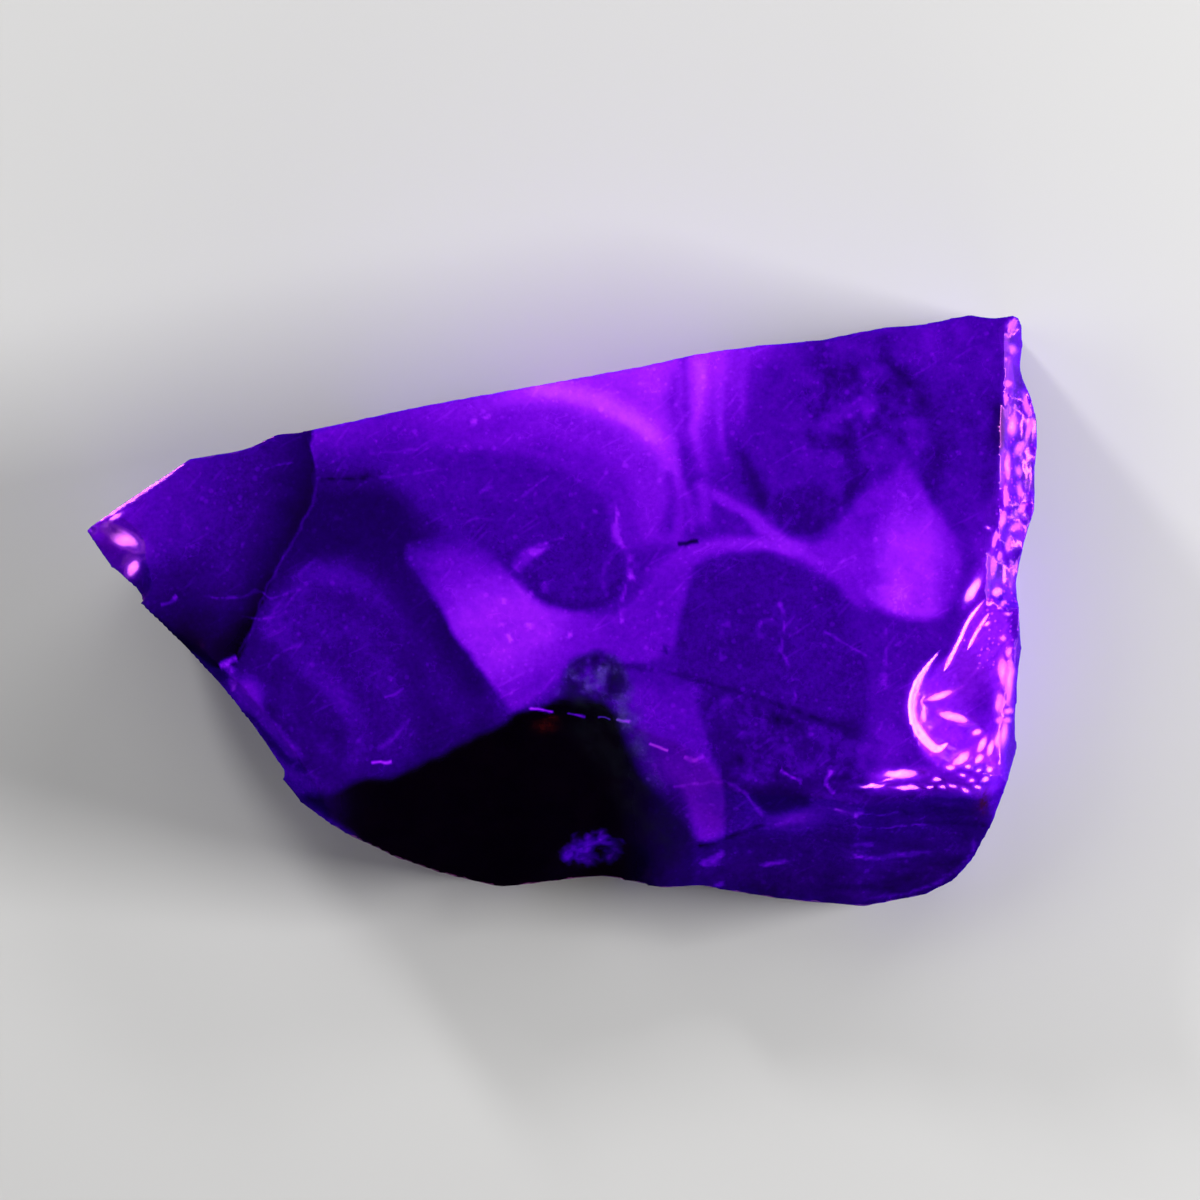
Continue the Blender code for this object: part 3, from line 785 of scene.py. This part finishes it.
def resampled(source, spacing):
    """A copy of a mesh with even quads that far apart, in metres."""
    piece = bpy.data.objects.new("agate_stone", source.data.copy())
    bpy.context.scene.collection.objects.link(piece)
    remesh = piece.modifiers.new("even_quads", "REMESH")
    remesh.mode = "VOXEL"
    remesh.voxel_size = spacing
    remesh.adaptivity = 0.0
    evaluated = piece.evaluated_get(bpy.context.evaluated_depsgraph_get())
    mesh = bpy.data.meshes.new_from_object(evaluated)
    piece.modifiers.clear()
    piece.data = mesh
    mesh.name = "agate_stone"
    return piece


def read(items, name, width=1, kind=float):
    """One property of a mesh's vertices, edges, corners or faces, as numbers or rows."""
    values = np.empty(len(items) * width, kind)
    items.foreach_get(name, values)
    return values.reshape(-1, width) if width > 1 else values


def read_points(mesh):
    """A mesh's vertices in millimetres."""
    return read(mesh.vertices, "co", 3) / MM


def write_points(mesh, points):
    mesh.vertices.foreach_set("co", (points * MM).ravel())
    mesh.update()


def read_normals(mesh):
    return read(mesh.vertex_normals, "vector", 3)


def edge_ends(mesh):
    return read(mesh.edges, "vertices", 2, int)


def on_sawn_face(points, tolerance):
    """Which points lie on the polished face or the sawn back."""
    return (points[:, 2] > FACE - tolerance) | (points[:, 2] < tolerance)


def ridge_strength(mesh):
    """0 on each vertex of a smooth stretch, 1 on a sharp ridge."""
    sizes = read(mesh.polygons, "loop_total", kind=int)
    face_of_loop = np.repeat(np.arange(len(sizes)), sizes)
    normals = read(mesh.polygon_normals, "vector", 3)
    order = np.argsort(read(mesh.loops, "edge_index", kind=int), kind="stable")
    pairs = face_of_loop[order].reshape(-1, 2)
    cosine = (normals[pairs[:, 0]] * normals[pairs[:, 1]]).sum(axis=1)
    angle = np.degrees(np.arccos(np.clip(cosine, -1, 1)))
    sharp = np.zeros(len(mesh.vertices))
    for end in edge_ends(mesh).T:
        np.maximum.at(sharp, end, angle)
    return ease(sharp, 9.0, 24.0)


def smoothed(points, pairs, freedom, rounds):
    """Points drawn towards their neighbours' middle, as far as each is free to move."""
    count = np.bincount(pairs.ravel(), minlength=len(points))[:, None]
    a, b = pairs.T
    for _ in range(rounds):
        total = np.empty_like(points)
        for axis in range(3):
            total[:, axis] = np.bincount(a, points[b, axis], len(points))
            total[:, axis] += np.bincount(b, points[a, axis], len(points))
        points = points + (total / count - points) * (0.6 * freedom)[:, None]
    return points


def thin_out(piece, points):
    """Gives the walls and the back a coarser mesh than what is seen from the front."""
    group = piece.vertex_groups.new(name="coarse")
    hidden = (read_normals(piece.data)[:, 2] < 0.15) & (points[:, 2] < FACE - WALL_TOP)
    group.add(np.flatnonzero(hidden).tolist(), 1.0, "REPLACE")
    fewer = piece.modifiers.new("fewer_faces", "DECIMATE")
    fewer.ratio = KEPT_SHARE
    fewer.vertex_group = group.name
    evaluated = piece.evaluated_get(bpy.context.evaluated_depsgraph_get())
    mesh = bpy.data.meshes.new_from_object(evaluated)
    piece.modifiers.clear()
    piece.vertex_groups.clear()
    piece.data = mesh


def refine(mesh, wanted):
    """Splits the faces whose corners are all wanted, into four each."""
    bm = bmesh.new()
    bm.from_mesh(mesh)
    bm.verts.ensure_lookup_table()
    edges = [e for e in bm.edges if wanted[e.verts[0].index] and wanted[e.verts[1].index]]
    bmesh.ops.subdivide_edges(bm, edges=edges, cuts=1, use_grid_fill=True)
    bm.to_mesh(mesh)
    bm.free()


def fine_places(points, level):
    """Where small chips, thin marks and narrow bands need a finer mesh."""
    xy, depth = photo_place(points)
    near = np.zeros(len(points), bool)
    if level == 0:
        for line in BANDS.values():
            places = np.array(line, float)
            reach = places[:, 3].max() + 4
            near |= (np.abs(beside(xy, places[:, :2], reach=reach)[0]) < reach) & (depth < 12)
        core = beside(xy, ARC, reach=30.0)[0]
        near |= (np.abs(core) < 16) & (depth < 12)
        fan = depth_inside(xy, FAN)
        near |= (fan > -6) & (fan < 6) & (depth < 12)
        near |= (depth_inside(xy, CORNER) > -8) & (depth < 110)
        rim = -beside(xy, RIM)[0]
        near |= (rim > -8) & (rim < 44) & (depth < 50)
        near |= (xy[:, 0] < 150) & (depth < 80)
    margin = 4.5 if level == 0 else 1.5
    for width, _, _, _, line in ALL_MARKS:
        away = np.abs(beside(xy, line, reach=margin + 6)[0])
        if level == 0 or width < 5:
            near |= (away < width / 2 + margin) & (depth < 40)
    for width, _, line in [*GLINTS.values(), *TIP_GLINTS.values()]:
        away = np.abs(beside(xy, line, reach=margin + 10)[0])
        near |= (away < width + margin) & (depth < 80)
    for x, y, length, width, turn in RIGHT_CHIPS + TIP_CHIPS:
        u, v = turned(xy - [x, y], turn)
        near |= (np.hypot(u / (length * 0.6 + margin), v / (width * 0.7 + margin)) < 1) & (depth < 130)
    return near


def turned(xy, turn):
    """Offsets in photo pixels as distances along and across a direction."""
    a = math.radians(turn)
    u = xy[:, 0] * math.cos(a) - xy[:, 1] * math.sin(a)
    v = xy[:, 0] * math.sin(a) + xy[:, 1] * math.cos(a)
    return u, v


def fracture_relief(points):
    """How far the broken surfaces stand out of the plain ones, in millimetres."""
    xy = photo_place(points)[0]
    x, y, z = points.T
    broken = ease(FACE - z, 0.02, 0.4) * ease(z, 0.02, 0.5)
    relief = -0.10 * broken * (0.5 + 0.5 * layered(points, 2.6, 5, 4))
    hackle = layered(points * [0.16, 1.6, 1.6], 1.0, 71, 3)
    relief += 0.012 * broken * ease(xy[:, 1], 780, 800) * hackle
    warp = 1.1 * layered(points, 3.0, 81, 2)
    rings = np.sin((np.hypot(x - 20, y + 4) + warp) * 2 * np.pi / 1.5)
    relief += 0.010 * broken * rings
    corner = ease(depth_inside(xy, CORNER), -4, 4) * ease(FACE - z, 0.02, 0.25)
    swell = layered(points * [1.0, 1.0, 0.6], 1.05, 91, 2)
    relief += 0.025 * corner * swell
    rim_away, rim_along = beside(xy, RIM)
    rim = ease(-rim_away, -4, 2) * ease(50 + rim_away, 0, 6)
    rim *= ease(FACE - z, 0.0, 0.2) * ends(rim_along, 0.01, 0.01)
    return relief + 0.06 * rim * layered(points * [1.3, 0.7, 0.7], 0.9, 95, 2)


def unit(vectors):
    return vectors / np.maximum(np.linalg.norm(vectors, axis=-1, keepdims=True), 1e-9)


def light_place(compass, elevation, distance=LIGHT_DISTANCE):
    """Where a light stands, in metres."""
    a, e = math.radians(compass), math.radians(elevation)
    towards = np.array([math.cos(a) * math.cos(e), math.sin(a) * math.cos(e), math.sin(e)])
    return towards * distance + [0, 0, FACE * MM]


def camera_place():
    """Where the camera stands, in metres."""
    x, y = (FRAME_CENTRE_PIXEL - ORIGIN_PIXEL) * PIXEL * [1, -1]
    return np.array([x, y, FACE + PHOTO_SIZE * PIXEL * CAMERA_LENS / CAMERA_SENSOR]) * MM


def facing(points, light):
    """The direction a surface faces where it mirrors a light to the photograph's camera."""
    place = points * MM
    return unit(unit(light_place(*light) - place) + unit(camera_place() - place))


def chip_shares(xy, seen, chips, glints):
    """How far each point belongs to a chip or a glint and to their painted highlight halo, and how dull it
    is.
    """
    share = np.zeros(len(xy))
    painted_halo = np.zeros(len(xy))
    dull = np.zeros(len(xy))
    flat = np.column_stack([xy, np.zeros(len(xy))])
    wobble = np.column_stack([noise(flat, 8, 161), noise(flat, 8, 167)]) * 1.2
    for chip in chips:
        x, y, length, width, turn = chip
        u, v = turned(xy + wobble - [x, y], turn)
        across = np.hypot(u / (length / 2), v / (width / 2))
        chance = lattice(*np.array([[x], [y], [length]]), 5)
        strength = 0.982 + 0.018 * chance
        core_dull, edge_dull = CHIP_DULL
        if chip in TIP_CHIPS:
            strength = 1.0
        elif chip in RIM_CHIPS and length * width > LARGE_CHIP:
            core_dull, edge_dull = RIM_DULL
        elif chip in RIM_CHIPS:
            core_dull, edge_dull = SMALL_RIM_DULL
            core_dull += 0.06 * chance
        share = np.maximum(share, strength * (1 - ease(across, 0.2 + 0.012 * min(length, 30), 1.35)))
        near = 1 - ease(across, 0.5, 2.0)
        painted_halo = np.maximum(painted_halo, near)
        dull = np.maximum(dull, near * mix(core_dull, edge_dull, ease(across, 0.15, 0.85)))
    for width, strength, line in glints.values():
        away, t = beside(xy, line, reach=width * 3)
        taper = np.sqrt(ends(t, 0.25, 0.2)) + 1e-3
        across = np.abs(away) / (width / 2 * taper)
        share = np.maximum(share, strength * (1 - ease(across, 0.4, 1.6)))
        near = 1 - ease(across, 0.6, 2.4)
        painted_halo = np.maximum(painted_halo, near)
        dull = np.where(near > 0.1, near * mix(*GLINT_DULL, ease(across, 0.5, 1.3)), dull)
    uneven = 1 - 0.02 * (0.5 + 0.5 * noise(flat, 4.5, 151)) * (xy[:, 0] > 200)
    return share * seen * uneven, painted_halo * seen, dull * seen


def sink_chips(points, normals, chips, light, relief):
    """Tilts the stone at each chip part of the way towards a light."""
    xy = photo_place(points)[0]
    goal = facing(points, light)
    lack = goal[:, :2] / goal[:, 2:] - normals[:, :2] / np.maximum(normals[:, 2:], 0.3)
    points = points.copy()
    for x, y, length, width, turn in chips:
        u, v = turned(xy - [x, y], turn)
        across = np.hypot(u / (length / 2), v / (width / 2))
        near = np.flatnonzero((across < 1.6) & (normals[:, 2] > 0.3))
        if len(near) > 3:
            tilt = lack[near].mean(axis=0)
            offset = (xy[near] - [x, y]) * PIXEL * [1, -1]
            sunk = offset @ tilt + 0.3 * np.linalg.norm(tilt) * width / 2 * PIXEL
            points[near, 2] -= relief * sunk * (1 - ease(across[near], 0.7, 1.5))
    return points


def shade_normals(mesh, points, aims):
    """Crisp edges round the sawn faces, gentler fracture slopes, and chips that face their light."""
    count = len(mesh.polygons)
    sizes = read(mesh.polygons, "loop_total", kind=int)
    corner = read(mesh.loops, "vertex_index", kind=int)
    faces = read(mesh.polygon_normals, "vector", 3)
    face_of = np.repeat(np.arange(count), sizes)
    sawn_corners = np.bincount(face_of, on_sawn_face(points, ON_FACE)[corner], count)
    chipped = np.bincount(face_of, np.maximum(aims[0][0], aims[1][0])[corner], count) > 0.05
    sawn = (sawn_corners == sizes) & (np.abs(faces[:, 2]) > 0.999) & ~chipped
    weight = (read(mesh.polygons, "area") * ~sawn)[face_of]
    total = np.column_stack([
        np.bincount(corner, faces[face_of, axis] * weight, len(points)) for axis in range(3)
    ])
    normals = unit(total)
    tilt = np.degrees(np.arccos(np.clip(normals[:, 2], -1, 1)))
    xy = photo_place(points)[0]
    lip = 1 - ease(FACE - points[:, 2], *LIP_REACH)
    lip = np.maximum(lip, peak(beside(xy, LEFT_LIP)[0] / 9, 1, 4))
    level = unit(normals[:, :2])
    right = ease(level[:, 0], 0.5, 0.8)
    lip_tilt = mix(np.interp(tilt, *GENTLE_LIP), np.interp(tilt, *GENTLE_RIM), right)
    gentle = mix(np.interp(tilt, *GENTLE), lip_tilt, lip)
    away = level @ [math.cos(math.radians(AWAY)), math.sin(math.radians(AWAY))]
    gentle = mix(gentle, np.minimum(np.interp(tilt, *GENTLE_AWAY), gentle), ease(away, 0.1, 0.35))
    gentle = mix(gentle, gentle * 0.2, spot(xy, "tip_hollow"))
    gentle = np.radians(mix(gentle, tilt, ease(tilt, 74, 88)))
    normals = np.column_stack([level * np.sin(gentle)[:, None], np.cos(gentle)])
    for share, goal in aims:
        normals = unit(mix(normals, goal, share[:, None]))
    loops = normals[corner]
    loops[sawn[face_of]] = faces[face_of[sawn[face_of]]]
    mesh.normals_split_custom_set(loops.tolist())


def build_stone(node):
    """The slice's visible mesh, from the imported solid."""
    piece = resampled(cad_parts[node], SPACING * MM)
    mesh = piece.data
    points = read_points(mesh)
    freedom = (1 - ridge_strength(mesh)) * ~on_sawn_face(points, NEAR_FACE)
    points = smoothed(points, edge_ends(mesh), freedom, SMOOTH_ROUNDS)
    write_points(mesh, points)
    thin_out(piece, points)
    mesh = piece.data
    for level in range(FINE_LEVELS):
        refine(mesh, fine_places(read_points(mesh), level))
    points = read_points(mesh)
    normals = read_normals(mesh)
    xy, depth = photo_place(points)
    pale, groove = thin_marks(xy)
    pale *= ease(normals[:, 2], 0.2, 0.6)
    groove *= ease(normals[:, 2], 0.2, 0.6)
    tone, hidden = stone_tone(xy, depth, normals[:, 2])
    points = points + normals * (fracture_relief(points) - groove)[:, None]
    points = sink_chips(points, normals, RIGHT_CHIPS, RIGHT_LIGHT, CHIP_RELIEF)
    points = sink_chips(points, normals, TIP_CHIPS, TIP_LIGHT, TIP_RELIEF)
    low, high = (np.array(corner) / MM for corner in CAD_BOX)
    points = np.clip(points, low + 0.001, high - 0.001)
    points[:, 2] = np.clip(points[:, 2], 0.0, FACE)
    write_points(mesh, points)
    mesh.polygons.foreach_set("use_smooth", [True] * len(mesh.polygons))
    seen = ease(normals[:, 2], 0.02, 0.2)
    right_share, right_painted_halo, right_dull = chip_shares(xy, seen, RIGHT_CHIPS, GLINTS)
    tip_share, tip_painted_halo, tip_dull = chip_shares(xy, seen, TIP_CHIPS, TIP_GLINTS)
    aims = [(right_share, facing(points, RIGHT_LIGHT)), (tip_share, facing(points, TIP_LIGHT))]
    shade_normals(mesh, points, aims)
    # Painted highlight: the stone is painted paler in a halo round each chip and glint.
    painted_halo = PAINTED_GLINT_HALO * np.maximum(right_painted_halo, tip_painted_halo)
    layer(mesh, "tone", np.clip(tone + pale + painted_halo, 0, TONE_TOP))
    haze = ease(depth_inside(xy, HAZE), -14, 14)
    haze = np.maximum(haze, ease(depth_inside(xy, CRYSTAL_SHADE), -4, 10))
    layer(mesh, "haze", haze * (1 - hidden))
    rim_away, rim_along = beside(xy, RIM)
    rim = ease(-rim_away, -2, 6) * ease(rim_along, 0.1, 0.3) * (1 - hidden)
    rim_dull = RIM_ROUGH * ease(-rim_away, -4, 0) + RIM_EDGE_ROUGH * peak(rim_away, 7, 4)
    layer(mesh, "dull", np.maximum(right_dull + tip_dull, rim_dull * (1 - hidden)))
    # How steep the surface is, for the painted shade tint on slopes.
    layer(mesh, "steep", ease(1 - normals[:, 2], 0.08, 0.3))
    layer(mesh, "rust", sum(spot(xy, name) for name in ("rust_1", "rust_2", "rust_3")))
    layer(mesh, "rim", rim)
    return piece


def layer(mesh, name, values):
    """Stores one number for each vertex, for the material to read."""
    attribute = mesh.attributes.new(name, "FLOAT", "POINT")
    attribute.data.foreach_set("value", values.astype(np.float32))


# The material

# Paleness, and the colour seen there.
TONE_COLOURS = [
    (0.0, (1, 0, 4)),
    (0.03, (4, 1, 15)),
    (0.08, (13, 1, 45)),
    (0.16, (26, 0, 93)),
    (0.28, (44, 0, 131)),
    (0.375, (60, 1, 160)),
    (0.525, (84, 3, 191)),
    (0.675, (108, 7, 216)),
    (0.82, (131, 17, 237)),
    (1.0, (160, 28, 253)),
    (1.25, (200, 60, 255)),
]
TONE_TOP = 1.25

# Frost in the matrix where it is dark and where it is pale, rust, and a painted shade tint
# that the colour on slopes is multiplied by, since they lie in shade and the pale floor that they mirror
# reddens them.
FROST = ((22, 26, 36), (104, 92, 168))
RUST_COLOUR = (58, 9, 10)
PAINTED_SHADE_TINT = (0.72, 1.0, 1.0, 1.0)

# Roughness of the polished face, and what smears and broken stone add to it.
POLISH = 0.08
SMEARS = 0.14
BROKEN = 0.02

AGATE_IOR = 1.54


def linear(colour):
    """A display colour of 0 to 255 as scene values with alpha."""
    values = [c / 255 for c in colour]
    return [v / 12.92 if v <= 0.04045 else ((v + 0.055) / 1.055) ** 2.4 for v in values] + [1.0]


class Nodes:
    """Short calls for building a node tree."""

    def __init__(self, tree):
        self.tree = tree

    def add(self, kind, **settings):
        node = self.tree.nodes.new(kind)
        for name, value in settings.items():
            setattr(node, name, value)
        return node

    def put(self, value, socket):
        if hasattr(value, "is_output"):
            self.tree.links.new(value, socket)
        else:
            socket.default_value = value

    def math(self, operation, a, b=0.0, c=0.0, clamp=False):
        node = self.add("ShaderNodeMath", operation=operation, use_clamp=clamp)
        for value, socket in zip((a, b, c), node.inputs):
            self.put(value, socket)
        return node.outputs[0]

    def ease(self, value, low, high, to_low=0.0, to_high=1.0):
        node = self.add("ShaderNodeMapRange", interpolation_type="SMOOTHSTEP")
        for given, socket in zip((value, low, high, to_low, to_high), node.inputs):
            self.put(given, socket)
        return node.outputs[0]

    def noise(self, place, scale, detail=3.0, roughness=0.5):
        node = self.add("ShaderNodeTexNoise")
        self.put(place, node.inputs["Vector"])
        for name, value in ("Scale", scale), ("Detail", detail), ("Roughness", roughness):
            node.inputs[name].default_value = value
        return node.outputs["Fac"]

    def mapping(self, place, turn=(0, 0, 0), scale=(1, 1, 1)):
        node = self.add("ShaderNodeMapping")
        self.put(place, node.inputs["Vector"])
        node.inputs["Rotation"].default_value = [math.radians(a) for a in turn]
        node.inputs["Scale"].default_value = scale
        return node.outputs[0]

    def stretched(self, place, turn, scale):
        """The place turned about Z, in degrees, and then scaled."""
        return self.mapping(self.mapping(place, turn=(0, 0, turn)), scale=scale)

    def dots(self, place, scale, radii, share):
        """Small soft dots, one in some of a cell pattern's cells; the share sets how few."""
        cells = self.add("ShaderNodeTexVoronoi")
        self.put(place, cells.inputs["Vector"])
        cells.inputs["Scale"].default_value = scale
        dot = self.ease(cells.outputs["Distance"], radii[0], radii[1], 1.0, 0.0)
        chosen = self.ease(self.noise(cells.outputs["Position"], 3.1, 0.0), share, share + 0.05)
        return self.math("MULTIPLY", dot, chosen)

    def bent(self, place, scale, amount):
        """The place, pushed about by slow noise."""
        slow = self.add("ShaderNodeTexNoise")
        self.put(place, slow.inputs["Vector"])
        slow.inputs["Scale"].default_value = scale
        slow.inputs["Detail"].default_value = 1.0
        push = self.add("ShaderNodeVectorMath", operation="MULTIPLY_ADD")
        self.put(slow.outputs["Color"], push.inputs[0])
        self.put((amount,) * 3, push.inputs[1])
        self.put(place, push.inputs[2])
        return push.outputs[0]

    def blend(self, factor, a, b, kind="MIX"):
        """One colour mixed into another."""
        node = self.add("ShaderNodeMix", data_type="RGBA", blend_type=kind)
        for name, value in zip(("Factor", "A", "B"), (factor, a, b)):
            self.put(value, node.inputs[name])
        return node.outputs["Result"]

    def attribute(self, name):
        return self.add("ShaderNodeAttribute", attribute_name=name).outputs["Fac"]


def stone_shade(n, place):
    """The paleness with grain, flecks, needles and wisps on it, fainter where it is dark."""
    tone = n.attribute("tone")
    grain = n.noise(place, 3.0, 4.0, 0.66)
    grain = n.math("MULTIPLY_ADD", grain, 0.26, -0.13)
    cloudy = n.noise(place, 0.75, 3.0, 0.55)
    grain = n.math("ADD", grain, n.math("MULTIPLY_ADD", cloudy, 0.12, -0.06))
    weight = n.ease(tone, 0.03, 0.36, 0.02, 1.0)
    fleck = n.dots(place, 1.0, (0.10, 0.28), 0.53)
    small_fleck = n.dots(n.mapping(place, turn=(20, 30, 40)), 2.1, (0.14, 0.34), 0.54)
    bent = n.bent(place, 0.25, 0.9)
    needle = n.dots(n.stretched(bent, -50, (0.36, 2.3, 0.5)), 1.0, (0.10, 0.42), 0.60)
    needle_2 = n.dots(n.stretched(bent, -30, (0.28, 2.8, 0.5)), 1.0, (0.10, 0.40), 0.62)
    wisp = n.math("ABSOLUTE", n.math("SUBTRACT", n.noise(place, 0.42, 3.0, 0.55), 0.5))
    wisp = n.ease(wisp, 0.002, 0.014, 1.0, 0.0)
    wisp = n.math("MULTIPLY", wisp, n.ease(n.noise(place, 0.33, 1.0), 0.50, 0.62))
    detail = grain
    for mark, paler in (fleck, 0.13), (small_fleck, 0.10), (needle, 0.09), (needle_2, 0.09), (wisp, 0.08):
        detail = n.math("MULTIPLY_ADD", mark, paler, detail)
    speck = n.dots(n.mapping(place, turn=(50, 10, 20)), 2.6, (0.16, 0.40), 0.47)
    detail = n.math("MULTIPLY_ADD", n.math("MULTIPLY", speck, n.attribute("rim")), 0.42, detail)
    return n.math("MULTIPLY_ADD", detail, weight, tone)


def stone_colour(n, place, shade):
    """Violet by paleness, hazy and rusty in places, and tinted cooler on the slopes as painted shade."""
    ramp = n.add("ShaderNodeValToRGB")
    elements = ramp.color_ramp.elements
    elements[0].position = 0.0
    elements[1].position = 1.0
    for position, colour in TONE_COLOURS[1:-1]:
        elements.new(position / TONE_TOP).color = linear(colour)
    elements[0].color = linear(TONE_COLOURS[0][1])
    elements[-1].color = linear(TONE_COLOURS[-1][1])
    n.put(n.math("DIVIDE", shade, TONE_TOP), ramp.inputs[0])
    cloudy = n.ease(n.noise(place, 0.6, 4.0, 0.6), 0.30, 0.8)
    haze = n.math("MULTIPLY", n.attribute("haze"), cloudy, clamp=True)
    frost = n.blend(n.ease(shade, 0.15, 0.5), linear(FROST[0]), linear(FROST[1]))
    colour = n.blend(n.math("MULTIPLY", haze, 0.5), ramp.outputs[0], frost)
    stain = n.ease(n.noise(place, 2.0), 0.3, 0.7, 0.3, 1.0)
    colour = n.blend(n.math("MULTIPLY", n.attribute("rust"), stain), colour, linear(RUST_COLOUR))
    # Painted shade: steep slopes are tinted less red.
    return n.blend(n.attribute("steep"), colour, PAINTED_SHADE_TINT, kind="MULTIPLY")


def stone_material():
    """Banded stone, glossy where it is sawn and faintly see-through."""
    material = bpy.data.materials.new("agate")
    material.use_nodes = True
    tree = material.node_tree
    shader = tree.nodes["Principled BSDF"]
    n = Nodes(tree)
    place = n.mapping(n.add("ShaderNodeTexCoord").outputs["Object"], scale=(1 / MM,) * 3)
    n.put(stone_colour(n, place, stone_shade(n, place)), shader.inputs["Base Color"])

    height = n.add("ShaderNodeSeparateXYZ")
    n.put(place, height.inputs[0])
    broken = n.ease(height.outputs["Z"], FACE - 0.25, FACE - 0.03, 1.0, 0.0)
    polish = n.math("MULTIPLY_ADD", n.noise(place, 0.5, 5.0, 0.6), SMEARS, POLISH)
    polish = n.math("ADD", polish, n.attribute("dull"))
    n.put(n.math("MULTIPLY_ADD", broken, BROKEN, polish), shader.inputs["Roughness"])
    shader.inputs["IOR"].default_value = AGATE_IOR
    shader.inputs["Specular Tint"].default_value = (1.0, 0.13, 0.95, 1.0)
    shader.inputs["Subsurface Weight"].default_value = 0.3
    shader.inputs["Subsurface Radius"].default_value = (1.0, 0.3, 1.4)
    shader.inputs["Subsurface Scale"].default_value = 0.5 * MM

    bump = n.add("ShaderNodeBump")
    rough_bump = n.math("MULTIPLY", n.noise(place, 2.4, 5.0, 0.6), broken)
    n.put(n.math("MULTIPLY_ADD", n.noise(place, 1.1, 3.0), 0.05, rough_bump), bump.inputs["Height"])
    bump.inputs["Strength"].default_value = 0.22
    bump.inputs["Distance"].default_value = 0.08 * MM
    n.put(bump.outputs[0], shader.inputs["Normal"])
    return material


def floor_material():
    material = bpy.data.materials.new("floor")
    material.use_nodes = True
    shader = material.node_tree.nodes["Principled BSDF"]
    shader.inputs["Base Color"].default_value = (0.62, 0.615, 0.61, 1.0)
    shader.inputs["Roughness"].default_value = 0.9
    return material


# The studio


def add_camera():
    """Looks straight down, with the photograph's frame at the level of the sawn face."""
    data = bpy.data.cameras.new("camera")
    data.lens = CAMERA_LENS
    data.sensor_width = CAMERA_SENSOR
    data.clip_start = 0.01
    camera = bpy.data.objects.new("camera", data)
    camera.location = camera_place()
    bpy.context.scene.collection.objects.link(camera)
    bpy.context.scene.camera = camera


def add_light(name, place, size, power, height=None):
    """An area light that faces the slice: round or, with a height, a level rectangle."""
    data = bpy.data.lights.new(name, "AREA")
    data.shape = "RECTANGLE" if height else "DISK"
    data.size = size
    if height:
        data.size_y = height
    data.energy = power
    light = bpy.data.objects.new(name, data)
    light.location = light_place(*place)
    light.rotation_mode = "QUATERNION"
    towards = light.location - Vector((0, 0, FACE * MM))
    light.rotation_quaternion = towards.to_track_quat("Z", "Y")
    bpy.context.scene.collection.objects.link(light)


def add_studio():
    """Soft lights behind the slice, narrow ones for the glints, and a dark ceiling."""
    for name, light in LIGHTS.items():
        add_light(name, *light)
    world = bpy.data.worlds.new("studio")
    bpy.context.scene.world = world
    world.use_nodes = True
    n = Nodes(world.node_tree)
    up = n.add("ShaderNodeSeparateXYZ")
    n.put(n.add("ShaderNodeTexCoord").outputs["Generated"], up.inputs[0])
    background = world.node_tree.nodes["Background"]
    n.put(n.ease(up.outputs["Z"], 0.1, 0.6, HORIZON, 0.0), background.inputs["Strength"])


def add_floor():
    bpy.ops.mesh.primitive_plane_add(size=3.0)
    floor = bpy.context.object
    floor.name = "floor"
    floor.data.materials.append(floor_material())


add_camera()
stone = build_stone("agate_slice")
stone.data.materials.clear()
stone.data.materials.append(stone_material())
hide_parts("agate_slice")
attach(stone, "root")
add_floor()
add_studio()
bpy.context.scene.view_settings.view_transform = "Standard"
